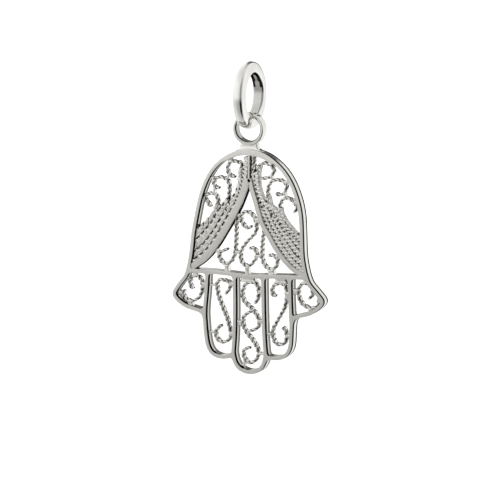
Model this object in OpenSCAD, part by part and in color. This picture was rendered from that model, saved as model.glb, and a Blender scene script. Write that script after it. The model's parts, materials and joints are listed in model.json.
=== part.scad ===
/* [Bail] */
// Inner radius of the bail's round loop
bail_inner_radius = 2.45; // [2.2:0.05:2.8]
// Width of the bail's band, from side to side
bail_width = 1.36; // [1.2:0.04:1.4]
// Thickness of the band, from its flat inner face to the top of its dome
bail_thickness = 1.27; // [1.1:0.01:1.4]
// Rounding of the band's two inner edges
bail_corner = 0.2; // [0.15:0.05:0.3]
// Squareness of the band's domed outside, from 0.4 nearly flat to 1 elliptic
bail_squareness = 0.6; // [0.4:0.1:1]

/* [Ring] */
// Inner radius of the ring on top of the hand
ring_inner_radius = 1.44; // [1.4:0.02:1.6]
// Thickness of the ring's band
ring_wall = 0.36; // [0.3:0.02:0.5]
// Depth of the ring from front to back
ring_depth = 1.2; // [1:0.1:1.4]
// Rounding of the ring's edges
ring_round = 0.15; // [0.08:0.01:0.16]
// Gap between the ring and the bail that it hangs in
ring_gap = 0.06; // [0.05:0.01:0.12]
// Height of the solder foot between the ring and the arch
foot_height = 0.28; // [0.2:0.02:0.4]
// Depth of the solder foot from front to back
foot_depth = 1; // [0.8:0.05:1.1]
// Width of the solder foot where it meets the arch
foot_width = 2.3; // [2:0.1:2.6]
// Width of the solder foot where it meets the ring
neck_width = 1.4; // [1.2:0.1:1.6]

/* [Hand] */
// Depth of the frame, the finger bars and the crossbar
frame_depth = 1.4; // [1.2:0.1:1.8]
// Width of the frame's edge as seen from the front
frame_width = 0.42; // [0.36:0.02:0.5]
// Width of the bars between the fingers
bar_width = 0.4; // [0.34:0.02:0.5]
// Depth of the two smooth rails along the leaves
rail_depth = 1.2; // [1.1:0.05:1.3]
// Depth of the plates under the leaves' wires
plate_depth = 0.6; // [0.4:0.1:0.8]

/* [Wire] */
// Depth of the flattened scroll wire, which stands on edge
wire_depth = 0.8; // [0.7:0.05:0.9]
// Width of the scroll wire as seen from the front
wire_width = 0.34; // [0.3:0.02:0.4]
// Widest slit between two wires that solder fills
solder_slit = 0.08; // [0.04:0.02:0.12]

/* [Hidden] */

// Straight steps in each span of a curve
curve_steps = 3;
// Steps round a wire's end
end_steps = 12;
// Margin by which the wires and the crossbar stay inside the outer edge
edge_margin = 0.1;
// Steps round each edge of the ring and round each inner edge of the bail
edge_steps = 3;
// Step of the angle over the bail's dome
dome_step = 7.5;

// Places up and down, from the inner top of the bail where the chain runs
bail_z = -bail_inner_radius;
seat_half_width = bail_width / 2 - bail_corner;
ring_flat_half = ring_depth / 2 - ring_round;
bail_rise = bail_inner_radius - sqrt(pow(bail_inner_radius, 2) - pow(ring_flat_half, 2));
ring_drop = sqrt(pow(ring_inner_radius, 2) - pow(seat_half_width, 2));
ring_z = bail_z - bail_inner_radius + bail_rise + ring_gap - ring_drop;
ring_outer_radius = ring_inner_radius + ring_wall;
arch_height = 14.3;
crossbar_z = ring_z - ring_outer_radius - foot_height - arch_height;

// All tables of the hand are [x, z] in mm, x to the right of the middle and
// z up from the crossbar's lower edge

// The hand's outer edge from the top of the arch over the shoulder, the thumb
// and the side finger to the notch by the middle finger, left and right. The
// hand is made by hand, so its two sides differ a little.
LEFT_EDGE = [
    [0, 14.3], [-1.95, 13.75], [-3.75, 12.55], [-4.95, 11], [-5.8, 9], [-6.3, 7], [-6.8, 4.5],
    [-7.08, 2.3], [-7.6, 0], [-8.35, -1], [-9.02, -1.95], [-9.2, -2.45], [-8.85, -3.05],
    [-7.75, -3.85], [-6.5, -4.2], [-5.75, -4.42], [-5.52, -5], [-5.42, -6.4], [-5.14, -8.1],
    [-4.5, -9.05], [-3.3, -9.42], [-2.04, -9.15]
];
RIGHT_EDGE = [
    [0, 14.3], [2.1, 13.78], [3.88, 12.55], [5.12, 11], [5.98, 9], [6.4, 7], [6.5, 4.5],
    [6.6, 2.3], [7.14, 0], [7.95, -1], [8.74, -1.88], [8.94, -2.34], [8.52, -3], [7.45, -3.78],
    [6.3, -4.16], [5.5, -4.4], [5.26, -5], [5.18, -6.4], [5, -7.9], [4.25, -8.85],
    [3.2, -9.14], [2.04, -9.15]
];
// Half width and height of the middle finger's round end, and its arc's steps
tip_half_width = 2.04;
tip_height = 1.77;
tip_z = -9.15;
tip_steps = 12;

// Middle lines of the frame's inner bars
ARCH_LINE = [[-2.7, 13], [-1.4, 13.58], [0, 13.76], [1.4, 13.58], [2.7, 13]];
arch_line_width = 0.5;
CROSSBAR = [[-7.2, 0.3], [-4.5, 0.3], [-2.2, 0.2], [0, 0.06], [2.2, 0.16], [4.5, 0.24], [7.2, 0.3]];
crossbar_width = 0.44;
LEFT_OUTER_BAR = [[-4.98, 0.3], [-5.02, -1], [-5.14, -2.4], [-5.3, -3.9], [-5.32, -5]];
RIGHT_OUTER_BAR = [[4.86, 0.3], [4.88, -1], [4.9, -2.4], [4.96, -3.9], [5, -5]];
LEFT_DIVIDER = [[-1.72, 0.2], [-1.7, -2], [-1.7, -4], [-1.76, -6.4], [-1.88, -8], [-2.02, -9.3]];
RIGHT_DIVIDER = [[1.68, 0.2], [1.7, -2], [1.72, -4], [1.78, -6.4], [1.88, -8], [2.02, -9.3]];

// Middle lines of the stem and of the smooth rails that part from it
STEM = [[0.1, 13.7], [0.08, 12.5], [0.05, 11.2], [0.05, 10]];
stem_width = 0.36;
LEFT_RAIL = [
    [0, 10.9], [-0.5, 9.7], [-0.95, 8.6], [-1.45, 7.5], [-2, 6.5], [-3, 4.9], [-4.15, 3.15],
    [-5.4, 1.75], [-6.8, 0.75]
];
left_rail_width = 0.66;
RIGHT_RAIL = [
    [0.1, 10.9], [0.42, 9.6], [0.8, 8.4], [1.15, 7.2], [1.55, 6], [2.3, 4.75], [3.3, 3.15],
    [4.55, 1.7], [5.5, 0.95], [6.6, 0.5]
];
right_rail_width = 0.62;

// Upper edges of the plates under the leaves' wires, from the stem to the
// frame; their lower edges lie inside the rails
LEFT_LEAF_TOP = [
    [0, 12.2], [-0.7, 11.6], [-1.05, 10.2], [-1.55, 9.1], [-2.2, 8.35], [-3, 7.95], [-3.95, 7.3],
    [-4.6, 6.4], [-5.3, 5.7], [-6.7, 5.1]
];
RIGHT_LEAF_TOP = [
    [0.1, 12.3], [0.9, 11.8], [1.05, 10.2], [1.4, 9], [1.9, 8.25], [2.8, 7.8], [3.6, 7.25],
    [4.05, 6.55], [4.7, 5.85], [5.4, 5.25], [6.5, 4.7]
];

// Middle lines of the scroll wires of the left leaf: each runs up its row
// of the leaf, leaves it and ends in a curl
LEFT_LEAF_SCROLLS = [
    [
        [-6.4, 1.7], [-5.25, 2.55], [-4.55, 3.4], [-3.45, 5], [-2.85, 6], [-2.3, 7.05], [-1.75, 8],
        [-1.35, 9], [-1.1, 10], [-0.95, 11.2], [-0.9, 12], [-1.05, 12.5], [-1.5, 12.68], [-2.05, 12.68],
        [-2.45, 12.4], [-2.6, 11.9], [-2.5, 11.4], [-2.2, 11.1], [-1.75, 10.95]
    ],
    [
        [-6.5, 2.8], [-5.5, 3.65], [-4.9, 4.3], [-3.75, 5.85], [-3.15, 6.85], [-2.8, 7.6], [-2.55, 8.5],
        [-2.42, 9.5], [-2.45, 10.1], [-2.7, 10.6], [-3.2, 10.85], [-3.8, 10.82], [-4.18, 10.5],
        [-4.25, 10], [-4.05, 9.7], [-3.65, 9.65]
    ],
    [
        [-6.4, 4.1], [-5.6, 4.9], [-4.9, 5.7], [-4.3, 6.45], [-3.95, 7.1], [-3.8, 7.8], [-3.85, 8.5],
        [-4.2, 8.95], [-4.7, 9], [-5.15, 8.8], [-5.3, 8.4], [-5.05, 8.05], [-4.65, 7.5]
    ]
];
// The same for the right leaf, whose inner row ends at the arch
RIGHT_LEAF_SCROLLS = [
    [
        [5.8, 1], [4.75, 1.85], [3.75, 3], [3.05, 4], [2.45, 5], [1.95, 6], [1.5, 7], [1.15, 8],
        [0.75, 9.1], [0.5, 10.2], [0.45, 11.5], [0.45, 12.5], [0.7, 13.5]
    ],
    [
        [6.4, 1.6], [5.25, 2.3], [4.35, 3.4], [3.5, 4.6], [2.85, 5.6], [2.35, 6.6], [1.75, 7.7],
        [1.3, 8.8], [1.02, 10], [0.97, 11], [1, 11.8], [1.2, 12.4], [1.6, 12.65], [2.1, 12.62],
        [2.6, 12.4], [2.85, 12], [2.8, 11.6], [2.45, 11.25], [2, 11.02], [1.5, 11]
    ],
    [
        [6.4, 2.9], [5.4, 3.9], [4.4, 5], [3.7, 6], [3.05, 7], [2.4, 8], [2.17, 9], [2.15, 9.8],
        [2.3, 10.3], [2.65, 10.7], [3.15, 10.88], [3.7, 10.85], [4.15, 10.65], [4.35, 10.2],
        [4.2, 9.7], [3.85, 9.35], [3.5, 9.22], [3.12, 9.42]
    ],
    [
        [6.4, 4.2], [5.6, 4.9], [4.8, 5.7], [4.1, 6.5], [3.65, 7.2], [3.55, 7.8], [3.65, 8.35],
        [3.95, 8.78], [4.4, 8.95], [4.9, 8.78], [5.3, 8.42], [5.52, 8.02], [5.48, 7.68], [5.2, 7.45]
    ]
];

// Middle lines of the palm's scrolls: left hook, big double curl, right hook
PALM_SCROLLS = [
    [
        [-1.6, 6.5], [-1.62, 5.2], [-1.68, 4], [-1.75, 3], [-1.88, 2.3], [-2.15, 1.72], [-2.5, 1.35],
        [-2.88, 1.22], [-3.3, 1.38], [-3.62, 1.75], [-3.7, 2.15], [-3.5, 2.5], [-3.12, 2.72], [-2.7, 2.9]
    ],
    [
        [0.12, 5.55], [-0.3, 5.38], [-0.7, 5.62], [-1, 6.1], [-1.05, 6.65], [-0.78, 7.05], [-0.3, 7.18],
        [0.12, 7], [0.48, 6.6], [0.7, 6.05], [0.76, 5.5], [0.66, 4.98], [0.3, 4.5], [-0.12, 4.1],
        [-0.5, 3.7], [-0.82, 3.25], [-1.05, 2.8], [-1.15, 2.3], [-1.1, 1.8], [-0.85, 1.35],
        [-0.4, 1.15], [0, 1.25], [0.36, 1.62], [0.65, 2.05], [0.76, 2.5], [0.66, 2.9], [0.38, 3.15],
        [-0.05, 3.15]
    ],
    [
        [1.7, 5.4], [1.5, 4.2], [1.42, 3.2], [1.4, 2.5], [1.5, 1.8], [1.75, 1.32], [2.1, 1],
        [2.5, 0.88], [2.9, 1.1], [3.16, 1.5], [3.2, 2], [3.02, 2.32], [2.7, 2.45], [2.25, 2.5]
    ]
];

// Middle lines of the long curls in the side fingers and the middle finger
FINGER_SCROLLS = [
    [
        [-2.95, -2.15], [-2.62, -1.7], [-2.42, -1.25], [-2.48, -0.85], [-2.82, -0.68], [-3.3, -0.6],
        [-3.78, -0.68], [-3.98, -1.1], [-3.95, -1.7], [-3.85, -2.3], [-3.6, -3], [-3.3, -3.7],
        [-2.78, -4.95], [-2.6, -5.6], [-2.45, -6.2], [-2.4, -6.8], [-2.58, -7.2], [-2.95, -7.48],
        [-3.4, -7.58], [-3.85, -7.4], [-4.12, -7], [-4.15, -6.5], [-3.95, -6.08], [-3.5, -5.7]
    ],
    [
        [3.02, -2.05], [2.68, -1.88], [2.58, -1.4], [2.75, -0.95], [3.15, -0.7], [3.7, -0.62],
        [4.1, -0.82], [4.27, -1.3], [4.3, -2], [4.2, -2.7], [4, -3.4], [3.66, -4], [3.3, -4.6],
        [3.02, -5.1], [2.72, -5.6], [2.65, -6.1], [2.7, -6.7], [2.92, -7.2], [3.4, -7.45], [3.9, -7.3],
        [4.2, -6.9], [4.25, -6.3], [4.14, -5.8], [3.8, -5.48]
    ],
    [
        [0.55, -3], [0.8, -2.6], [0.95, -2.1], [0.96, -1.5], [0.8, -0.95], [0.4, -0.7], [-0.1, -0.7],
        [-0.55, -0.92], [-0.82, -1.4], [-0.94, -2], [-0.85, -2.6], [-0.5, -3.1], [-0.1, -3.42],
        [0.32, -3.8], [0.72, -4.3], [0.96, -4.8], [0.98, -5.4], [0.68, -5.82], [-0.05, -6.08]
    ],
    [
        [0.32, -3.8], [-0.3, -4.1], [-0.78, -4.55], [-0.92, -5.1], [-0.8, -5.7], [-0.55, -6.2],
        [-0.2, -6.65], [0.2, -7.1], [0.6, -7.65], [0.86, -8.2], [0.9, -8.7], [0.72, -9.15],
        [0.4, -9.5], [0, -9.68], [-0.5, -9.55], [-0.8, -9.1], [-0.86, -8.55], [-0.62, -8.15], [-0.1, -8.02]
    ]
];

// Middle lines of the curls in the two thumbs
THUMB_SCROLLS = [
    [
        [-6.9, -1.85], [-7.22, -1.25], [-7.05, -0.6], [-6.5, -0.32], [-5.98, -0.58], [-5.76, -1.25],
        [-5.82, -2.05], [-6.2, -2.75], [-6.8, -3.1], [-7.45, -3.12], [-7.95, -2.75], [-8.02, -2]
    ],
    [
        [6.95, -2.1], [7.32, -1.65], [7.28, -0.95], [6.75, -0.45], [6.12, -0.5], [5.76, -1.1],
        [5.76, -1.9], [6.1, -2.62], [6.8, -3.05], [7.5, -3.08], [8, -2.7], [8.1, -2]
    ]
];

// Solder that joins wires to the frame, to the rails and to each other:
// [x1, z1, x2, z2, width]
SOLDER = [
    // Leaf curls of the left side
    [-2.1, 12.6, -2.45, 13.05, 0.5], [-2.4, 11.3, -2.6, 10.75, 0.32], [-4.1, 10.7, -4.8, 10.8, 0.36],
    [-4.1, 9.7, -4.25, 9, 0.3], [-5.2, 8.5, -5.75, 8.5, 0.5],
    // Leaf curls of the right side
    [2.4, 12.5, 2.8, 12.95, 0.6], [2.6, 11.35, 2.7, 10.75, 0.32], [4.2, 10.6, 4.8, 10.9, 0.5],
    [4.1, 9.6, 4.25, 8.95, 0.3], [5.35, 8.5, 5.8, 8.55, 0.6],
    // Double curl and hooks of the palm
    [-1.05, 6.75, -1.6, 6.8, 0.5], [0.65, 6.2, 1.3, 6.35, 0.7], [-1.1, 2.55, -1.75, 2.65, 0.4],
    [0.7, 2.3, 1.4, 2.3, 0.4], [-3.6, 2.35, -4.1, 2.8, 0.4], [3.1, 2.25, 3.6, 2.7, 0.5],
    [-2.75, 1.2, -2.75, 0.3, 0.6], [-0.35, 1.15, -0.3, 0.1, 0.55], [2.5, 0.9, 2.6, 0.3, 0.85],
    // Long curls of the fingers
    [-2.45, -1, -1.75, -1, 0.5], [-2.4, -6.6, -1.8, -6.6, 0.6], [-4.1, -6.5, -5.1, -6.5, 0.36],
    [-3.95, -1.2, -4.95, -1.2, 0.26], [2.65, -6.3, 1.8, -6.3, 0.4], [4.25, -1.9, 4.85, -1.9, 1.2],
    [4.25, -6.4, 4.95, -6.4, 0.46], [3.7, -0.6, 3.7, 0.1, 1.7], [-0.9, -5.3, -1.65, -5.3, 0.8],
    [0.95, -1.7, 1.65, -1.7, 0.5], [1, -5, 1.65, -5, 0.5], [-0.2, -0.65, -0.2, 0, 2.1],
    [0.9, -8.6, 1.8, -8.6, 0.32], [-0.6, -9.55, -0.95, -10.15, 0.4],
    // Curls of the thumbs
    [-5.78, -1.3, -5.1, -1.3, 0.8], [-6.5, -0.35, -6.5, 0.2, 0.7], [-7.2, -3.1, -7.2, -3.7, 0.8],
    [-8, -2.3, -8.6, -2.3, 0.5], [5.76, -1.4, 5, -1.4, 0.8], [6.6, -0.45, 6.6, 0.2, 0.7],
    [7.2, -3.1, 7.2, -3.7, 0.8], [8.05, -2.3, 8.6, -2.3, 0.5]
];

function last(v) = v[len(v) - 1];
function reversed(v) = [for (i = [len(v) - 1:-1:0]) v[i]];

// One point of the smooth curve through b and c, at t from 0 to 1 between them
function on_curve(a, b, c, d, t) =
    (2 * b + (c - a) * t + (2 * a - 5 * b + 4 * c - d) * t * t + (3 * b - a - 3 * c + d) * t * t * t) / 2;

// The smooth curve through a table's points
function curve(v, n = curve_steps) = [
    for (i = [0:len(v) - 2])
        for (k = [0:n - 1])
            on_curve(v[max(i - 1, 0)], v[i], v[i + 1], v[min(i + 2, len(v) - 1)], k / n),
    last(v)
];

// A line moved sideways by an offset, to its left when that is positive
function beside(v, offset) = [
    for (i = [0:len(v) - 1])
        let (run = v[min(i + 1, len(v) - 1)] - v[max(i - 1, 0)])
            v[i] + [-run[1], run[0]] * offset / norm(run)
];

// One point of a squarish dome, at angle a from -90 to 90 degrees off its middle
function on_dome(half_width, rise, a) =
    [rise * pow(cos(a), bail_squareness), sign(a) * half_width * pow(abs(sin(a)), bail_squareness)];

// Points on part of a circle or of an ellipse
function arc(centre, half_x, half_z, from, to, n) = [
    for (k = [0:n])
        let (a = from + (to - from) * k / n) centre + [half_x * cos(a), half_z * sin(a)]
];

// A rounded corner of a section: a quarter turn from an angle on
function corner(centre, radius, from) = arc(centre, radius, radius, from, from + 90, edge_steps);

// A flat band along a line, with square ends
module strip(line, width) {
    polygon(concat(beside(line, width / 2), reversed(beside(line, -width / 2))));
}

// A flat band along a smooth curve, with round ends
module band(v, width) {
    line = curve(v);
    strip(line, width);
    for (end = [line[0], last(line)])
        translate(end) circle(d = width, $fn = end_steps);
}

// A flat drawing made solid, standing upright and centred front to back
module upright(depth) {
    translate([0, 0, crossbar_z])
        rotate([90, 0, 0])
            linear_extrude(height = depth, center = true)
                offset(delta = -solder_slit / 2)
                    offset(delta = solder_slit / 2)
                        children();
}

module hand_outline() {
    polygon(concat(
        curve(RIGHT_EDGE),
        arc([0, tip_z], tip_half_width, tip_height, 0, -180, tip_steps),
        reversed(curve(LEFT_EDGE))
    ));
}

// The part of a drawing that lies inside the hand's outer edge
module inside_edge() {
    intersection() {
        offset(delta = -edge_margin) hand_outline();
        union() children();
    }
}

// The outer edge, the arch's thicker top, the crossbar and the finger bars
module frame() {
    upright(frame_depth) {
        difference() {
            hand_outline();
            offset(delta = -frame_width) hand_outline();
        }
        inside_edge() {
            band(ARCH_LINE, arch_line_width);
            band(CROSSBAR, crossbar_width);
            for (bar = [LEFT_OUTER_BAR, RIGHT_OUTER_BAR, LEFT_DIVIDER, RIGHT_DIVIDER])
                band(bar, bar_width);
        }
    }
}

// The smooth rails of the two leaves and the stem that they hang from
module rails() {
    upright(rail_depth)
        inside_edge() {
            band(STEM, stem_width);
            band(LEFT_RAIL, left_rail_width);
            band(RIGHT_RAIL, right_rail_width);
        }
}

// The plates that carry the leaves' rows of wire
module leaf_plates() {
    upright(plate_depth)
        inside_edge() {
            polygon(concat(curve(LEFT_LEAF_TOP), reversed(LEFT_RAIL)));
            polygon(concat(curve(RIGHT_LEAF_TOP), reversed(RIGHT_RAIL)));
        }
}

// All the curled wires and the solder that holds them
module scroll_wires() {
    upright(wire_depth)
        inside_edge() {
            for (group = [LEFT_LEAF_SCROLLS, RIGHT_LEAF_SCROLLS, PALM_SCROLLS, FINGER_SCROLLS, THUMB_SCROLLS])
                for (wire = group)
                    band(wire, wire_width);
            for (s = SOLDER)
                strip([[s[0], s[1]], [s[2], s[3]]], s[4]);
        }
}

// The ring that hangs in the bail, its band rounded at the edges
module ring() {
    inner = ring_inner_radius + ring_round;
    outer = ring_outer_radius - ring_round;
    translate([0, 0, ring_z])
        rotate([90, 0, 0])
            rotate_extrude($fn = 64)
                polygon(concat(
                    corner([inner, -ring_flat_half], ring_round, 180),
                    corner([outer, -ring_flat_half], ring_round, 270),
                    corner([outer, ring_flat_half], ring_round, 0),
                    corner([inner, ring_flat_half], ring_round, 90)
                ));
}

// The solder foot between the ring and the arch, sunk into both
module ring_foot() {
    base = arch_height - frame_width;
    neck = arch_height + foot_height + ring_wall * 0.8;
    translate([0, 0, crossbar_z])
        rotate([90, 0, 0])
            linear_extrude(height = foot_depth, center = true)
                polygon([
                    [-foot_width / 2, base],
                    [foot_width / 2, base],
                    [neck_width / 2, neck],
                    [-neck_width / 2, neck]
                ]);
}

module hand() {
    color("silver") {
        frame();
        rails();
        leaf_plates();
        scroll_wires();
        ring();
        ring_foot();
    }
}

// The bail: a round loop of a heavy band, flat inside and domed outside
module bail() {
    inner = bail_inner_radius + bail_corner;
    dome_rise = bail_thickness / 3;
    dome_base = bail_inner_radius + bail_thickness - dome_rise;
    color("gainsboro")
        translate([0, 0, bail_z])
            rotate([0, 90, 0])
                rotate_extrude($fn = 96)
                    polygon(concat(
                        corner([inner, -seat_half_width], bail_corner, 180),
                        [for (a = [-90:dome_step:90]) [dome_base, 0] + on_dome(bail_width / 2, dome_rise, a)],
                        corner([inner, seat_half_width], bail_corner, 90)
                    ));
}

hand();
bail();
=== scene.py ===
"""Dresses a silver hand pendant of open wirework that hangs from a heavy bail.

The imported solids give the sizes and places. Each sub-assembly is modelled flat on a bench, in millimetres,
with X to the right, Y up the hand and Z towards the viewer, and is then stood up in the part's own frame.
"""

import json
import logging
import math
from collections.abc import Callable, Iterator, Sequence
from contextlib import contextmanager
from dataclasses import dataclass
from enum import Enum

import bmesh
import bpy
from mathutils import Matrix, Quaternion, Vector
from mathutils.geometry import intersect_point_line

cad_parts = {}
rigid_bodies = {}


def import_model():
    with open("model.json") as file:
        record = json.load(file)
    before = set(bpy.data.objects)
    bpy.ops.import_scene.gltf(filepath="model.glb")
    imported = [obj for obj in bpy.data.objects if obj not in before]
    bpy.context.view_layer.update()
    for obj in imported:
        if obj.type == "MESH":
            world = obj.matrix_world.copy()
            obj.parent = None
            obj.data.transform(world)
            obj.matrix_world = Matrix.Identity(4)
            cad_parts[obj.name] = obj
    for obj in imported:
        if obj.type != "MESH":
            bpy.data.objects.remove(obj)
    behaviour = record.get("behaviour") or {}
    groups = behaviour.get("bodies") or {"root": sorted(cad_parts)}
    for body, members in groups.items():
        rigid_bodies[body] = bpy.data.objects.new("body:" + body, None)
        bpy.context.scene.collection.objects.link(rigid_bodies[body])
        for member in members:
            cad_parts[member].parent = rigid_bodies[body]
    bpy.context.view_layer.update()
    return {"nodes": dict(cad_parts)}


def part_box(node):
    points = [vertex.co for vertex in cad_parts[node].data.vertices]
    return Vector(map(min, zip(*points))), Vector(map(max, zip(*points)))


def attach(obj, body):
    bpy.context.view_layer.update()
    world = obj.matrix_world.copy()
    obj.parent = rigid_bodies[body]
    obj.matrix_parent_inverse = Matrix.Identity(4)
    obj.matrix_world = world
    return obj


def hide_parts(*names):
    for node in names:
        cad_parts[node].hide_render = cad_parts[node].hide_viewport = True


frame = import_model()

Point = tuple[float, float]
Line = tuple[Point, ...]
Colour = tuple[float, float, float]

MM = 0.001

# Depth of the middle finger's tip below the crossbar's lower edge, in mm
FINGERTIP_DROP = 10.92
# Heights of the crossbar's lower edge, the bail's axis and the ring's top, and the bail's size, in mm
CROSSBAR_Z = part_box("hand")[0].z / MM + FINGERTIP_DROP
BAIL_Z = (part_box("bail")[0].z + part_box("bail")[1].z) / 2 / MM
BAIL_RADIUS = (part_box("bail")[1].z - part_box("bail")[0].z) / 2 / MM
BAIL_WIDTH = (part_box("bail")[1].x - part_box("bail")[0].x) / MM
RING_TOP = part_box("hand")[1].z / MM

# Middle lines on the bench, in mm from the middle of the crossbar's lower edge: the stem, the smooth
# rails that part from it, and the upper edges of the plates under the leaves' rows of wire
STEM = (
    (0.1, 13.7), (0.08, 12.5), (0.05, 11.2), (0.05, 10),
)

LEFT_RAIL = (
    (0, 10.9), (-0.5, 9.7), (-0.95, 8.6), (-1.45, 7.5), (-2, 6.5), (-3, 4.9), (-4.15, 3.15),
    (-5.4, 1.75), (-6.4, 1), (-7.05, 0.6),
)

RIGHT_RAIL = (
    (0.1, 10.9), (0.42, 9.6), (0.8, 8.4), (1.15, 7.2), (1.55, 6), (2.3, 4.75), (3.3, 3.15),
    (4.55, 1.7), (5.5, 0.95), (6.6, 0.5),
)

LEFT_LEAF_TOP = (
    (0, 12.2), (-0.7, 11.6), (-1.05, 10.2), (-1.55, 9.1), (-2.2, 8.35), (-3, 7.95), (-3.95, 7.3),
    (-4.6, 6.4), (-5.3, 5.7), (-6.7, 5.1),
)

RIGHT_LEAF_TOP = (
    (0.1, 12.3), (0.9, 11.8), (1.05, 10.2), (1.4, 9), (1.9, 8.25), (2.8, 7.8), (3.6, 7.25),
    (4.05, 6.55), (4.7, 5.85), (5.4, 5.25), (6.5, 4.7),
)

# Middle lines of the scrolls: those of the leaves start at the frame and also guide the rows of wire
LEFT_LEAF_SCROLLS = (
    (
        (-6.4, 1.7), (-5.25, 2.55), (-4.55, 3.4), (-3.45, 5), (-2.85, 6), (-2.3, 7.05), (-1.75, 8),
        (-1.35, 9), (-1.1, 10), (-0.95, 11.2), (-0.9, 12), (-1.05, 12.5), (-1.5, 12.68),
        (-2.05, 12.68), (-2.45, 12.4), (-2.6, 11.9), (-2.5, 11.4), (-2.2, 11.1), (-1.75, 10.95),
    ),
    (
        (-6.5, 2.8), (-5.5, 3.65), (-4.9, 4.3), (-3.75, 5.85), (-3.15, 6.85), (-2.8, 7.6),
        (-2.55, 8.5), (-2.42, 9.5), (-2.45, 10.1), (-2.7, 10.6), (-3.2, 10.85), (-3.8, 10.82),
        (-4.18, 10.5), (-4.25, 10), (-4.05, 9.7), (-3.65, 9.65),
    ),
    (
        (-6.4, 4.1), (-5.6, 4.9), (-4.9, 5.7), (-4.3, 6.45), (-3.95, 7.1), (-3.8, 7.8), (-3.85, 8.5),
        (-4.2, 8.95), (-4.7, 9), (-5.15, 8.8), (-5.3, 8.4), (-5.05, 8.05), (-4.65, 7.5),
    ),
)

RIGHT_LEAF_SCROLLS = (
    (
        (5.8, 1), (4.75, 1.85), (3.75, 3), (3.05, 4), (2.45, 5), (1.95, 6), (1.5, 7), (1.15, 8),
        (0.75, 9.1), (0.5, 10.2), (0.45, 11.5), (0.45, 12.5), (0.7, 13.5),
    ),
    (
        (6.4, 1.6), (5.25, 2.3), (4.35, 3.4), (3.5, 4.6), (2.85, 5.6), (2.35, 6.6), (1.75, 7.7),
        (1.3, 8.8), (1.02, 10), (0.97, 11), (1, 11.8), (1.2, 12.4), (1.6, 12.65), (2.1, 12.62),
        (2.6, 12.4), (2.85, 12), (2.8, 11.6), (2.45, 11.25), (2, 11.02), (1.5, 11),
    ),
    (
        (6.4, 2.9), (5.4, 3.9), (4.4, 5), (3.7, 6), (3.05, 7), (2.4, 8), (2.17, 9), (2.15, 9.8),
        (2.3, 10.3), (2.65, 10.7), (3.15, 10.88), (3.7, 10.85), (4.15, 10.65), (4.35, 10.2),
        (4.2, 9.7), (3.85, 9.35), (3.5, 9.22), (3.12, 9.42),
    ),
    (
        (6.4, 4.2), (5.6, 4.9), (4.8, 5.7), (4.1, 6.5), (3.65, 7.2), (3.55, 7.8), (3.65, 8.35),
        (3.95, 8.78), (4.4, 8.95), (4.9, 8.78), (5.3, 8.42), (5.52, 8.02), (5.48, 7.68), (5.2, 7.45),
    ),
)

PALM_SCROLLS = (
    (
        (-1.6, 6.5), (-1.62, 5.2), (-1.68, 4), (-1.75, 3), (-1.88, 2.3), (-2.15, 1.72), (-2.5, 1.35),
        (-2.88, 1.22), (-3.3, 1.38), (-3.62, 1.75), (-3.7, 2.15), (-3.5, 2.5), (-3.12, 2.72),
        (-2.7, 2.9),
    ),
    (
        (0.12, 5.55), (-0.3, 5.38), (-0.7, 5.62), (-1, 6.1), (-1.05, 6.65), (-0.78, 7.05),
        (-0.3, 7.18), (0.12, 7), (0.48, 6.6), (0.7, 6.05), (0.76, 5.5), (0.66, 4.98), (0.3, 4.5),
        (-0.12, 4.1), (-0.5, 3.7), (-0.82, 3.25), (-1.05, 2.8), (-1.15, 2.3), (-1.1, 1.8),
        (-0.85, 1.35), (-0.4, 1.15), (0, 1.25), (0.36, 1.62), (0.65, 2.05), (0.76, 2.5), (0.66, 2.9),
        (0.38, 3.15), (-0.05, 3.15),
    ),
    (
        (1.7, 5.4), (1.5, 4.2), (1.42, 3.2), (1.4, 2.5), (1.5, 1.8), (1.75, 1.32), (2.1, 1),
        (2.5, 0.88), (2.9, 1.1), (3.16, 1.5), (3.2, 2), (3.02, 2.32), (2.7, 2.45), (2.25, 2.5),
    ),
)

FINGER_SCROLLS = (
    (
        (-2.95, -2.15), (-2.62, -1.7), (-2.42, -1.25), (-2.48, -0.85), (-2.82, -0.68), (-3.3, -0.6),
        (-3.78, -0.68), (-3.98, -1.1), (-3.95, -1.7), (-3.85, -2.3), (-3.6, -3), (-3.3, -3.7),
        (-2.78, -4.95), (-2.6, -5.6), (-2.45, -6.2), (-2.4, -6.8), (-2.58, -7.2), (-2.95, -7.48),
        (-3.4, -7.58), (-3.85, -7.4), (-4.12, -7), (-4.15, -6.5), (-3.95, -6.08), (-3.5, -5.7),
    ),
    (
        (3.02, -2.05), (2.68, -1.88), (2.58, -1.4), (2.75, -0.95), (3.15, -0.7), (3.7, -0.62),
        (4.1, -0.82), (4.27, -1.3), (4.3, -2), (4.2, -2.7), (4, -3.4), (3.66, -4), (3.3, -4.6),
        (3.02, -5.1), (2.72, -5.6), (2.65, -6.1), (2.7, -6.7), (2.92, -7.2), (3.4, -7.45), (3.9, -7.3),
        (4.2, -6.9), (4.25, -6.3), (4.14, -5.8), (3.8, -5.48),
    ),
    (
        (0.55, -3), (0.8, -2.6), (0.95, -2.1), (0.96, -1.5), (0.8, -0.95), (0.4, -0.7), (-0.1, -0.7),
        (-0.55, -0.92), (-0.82, -1.4), (-0.94, -2), (-0.85, -2.6), (-0.5, -3.1), (-0.1, -3.42),
        (0.32, -3.8), (0.72, -4.3), (0.96, -4.8), (0.98, -5.4), (0.68, -5.82), (-0.05, -6.08),
    ),
    (
        (0.32, -3.8), (-0.3, -4.1), (-0.78, -4.55), (-0.92, -5.1), (-0.8, -5.7), (-0.55, -6.2),
        (-0.2, -6.65), (0.2, -7.1), (0.6, -7.65), (0.86, -8.2), (0.9, -8.7), (0.72, -9.15),
        (0.4, -9.5), (0, -9.68), (-0.5, -9.55), (-0.8, -9.1), (-0.86, -8.55), (-0.62, -8.15),
        (-0.1, -8.02),
    ),
)

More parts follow.
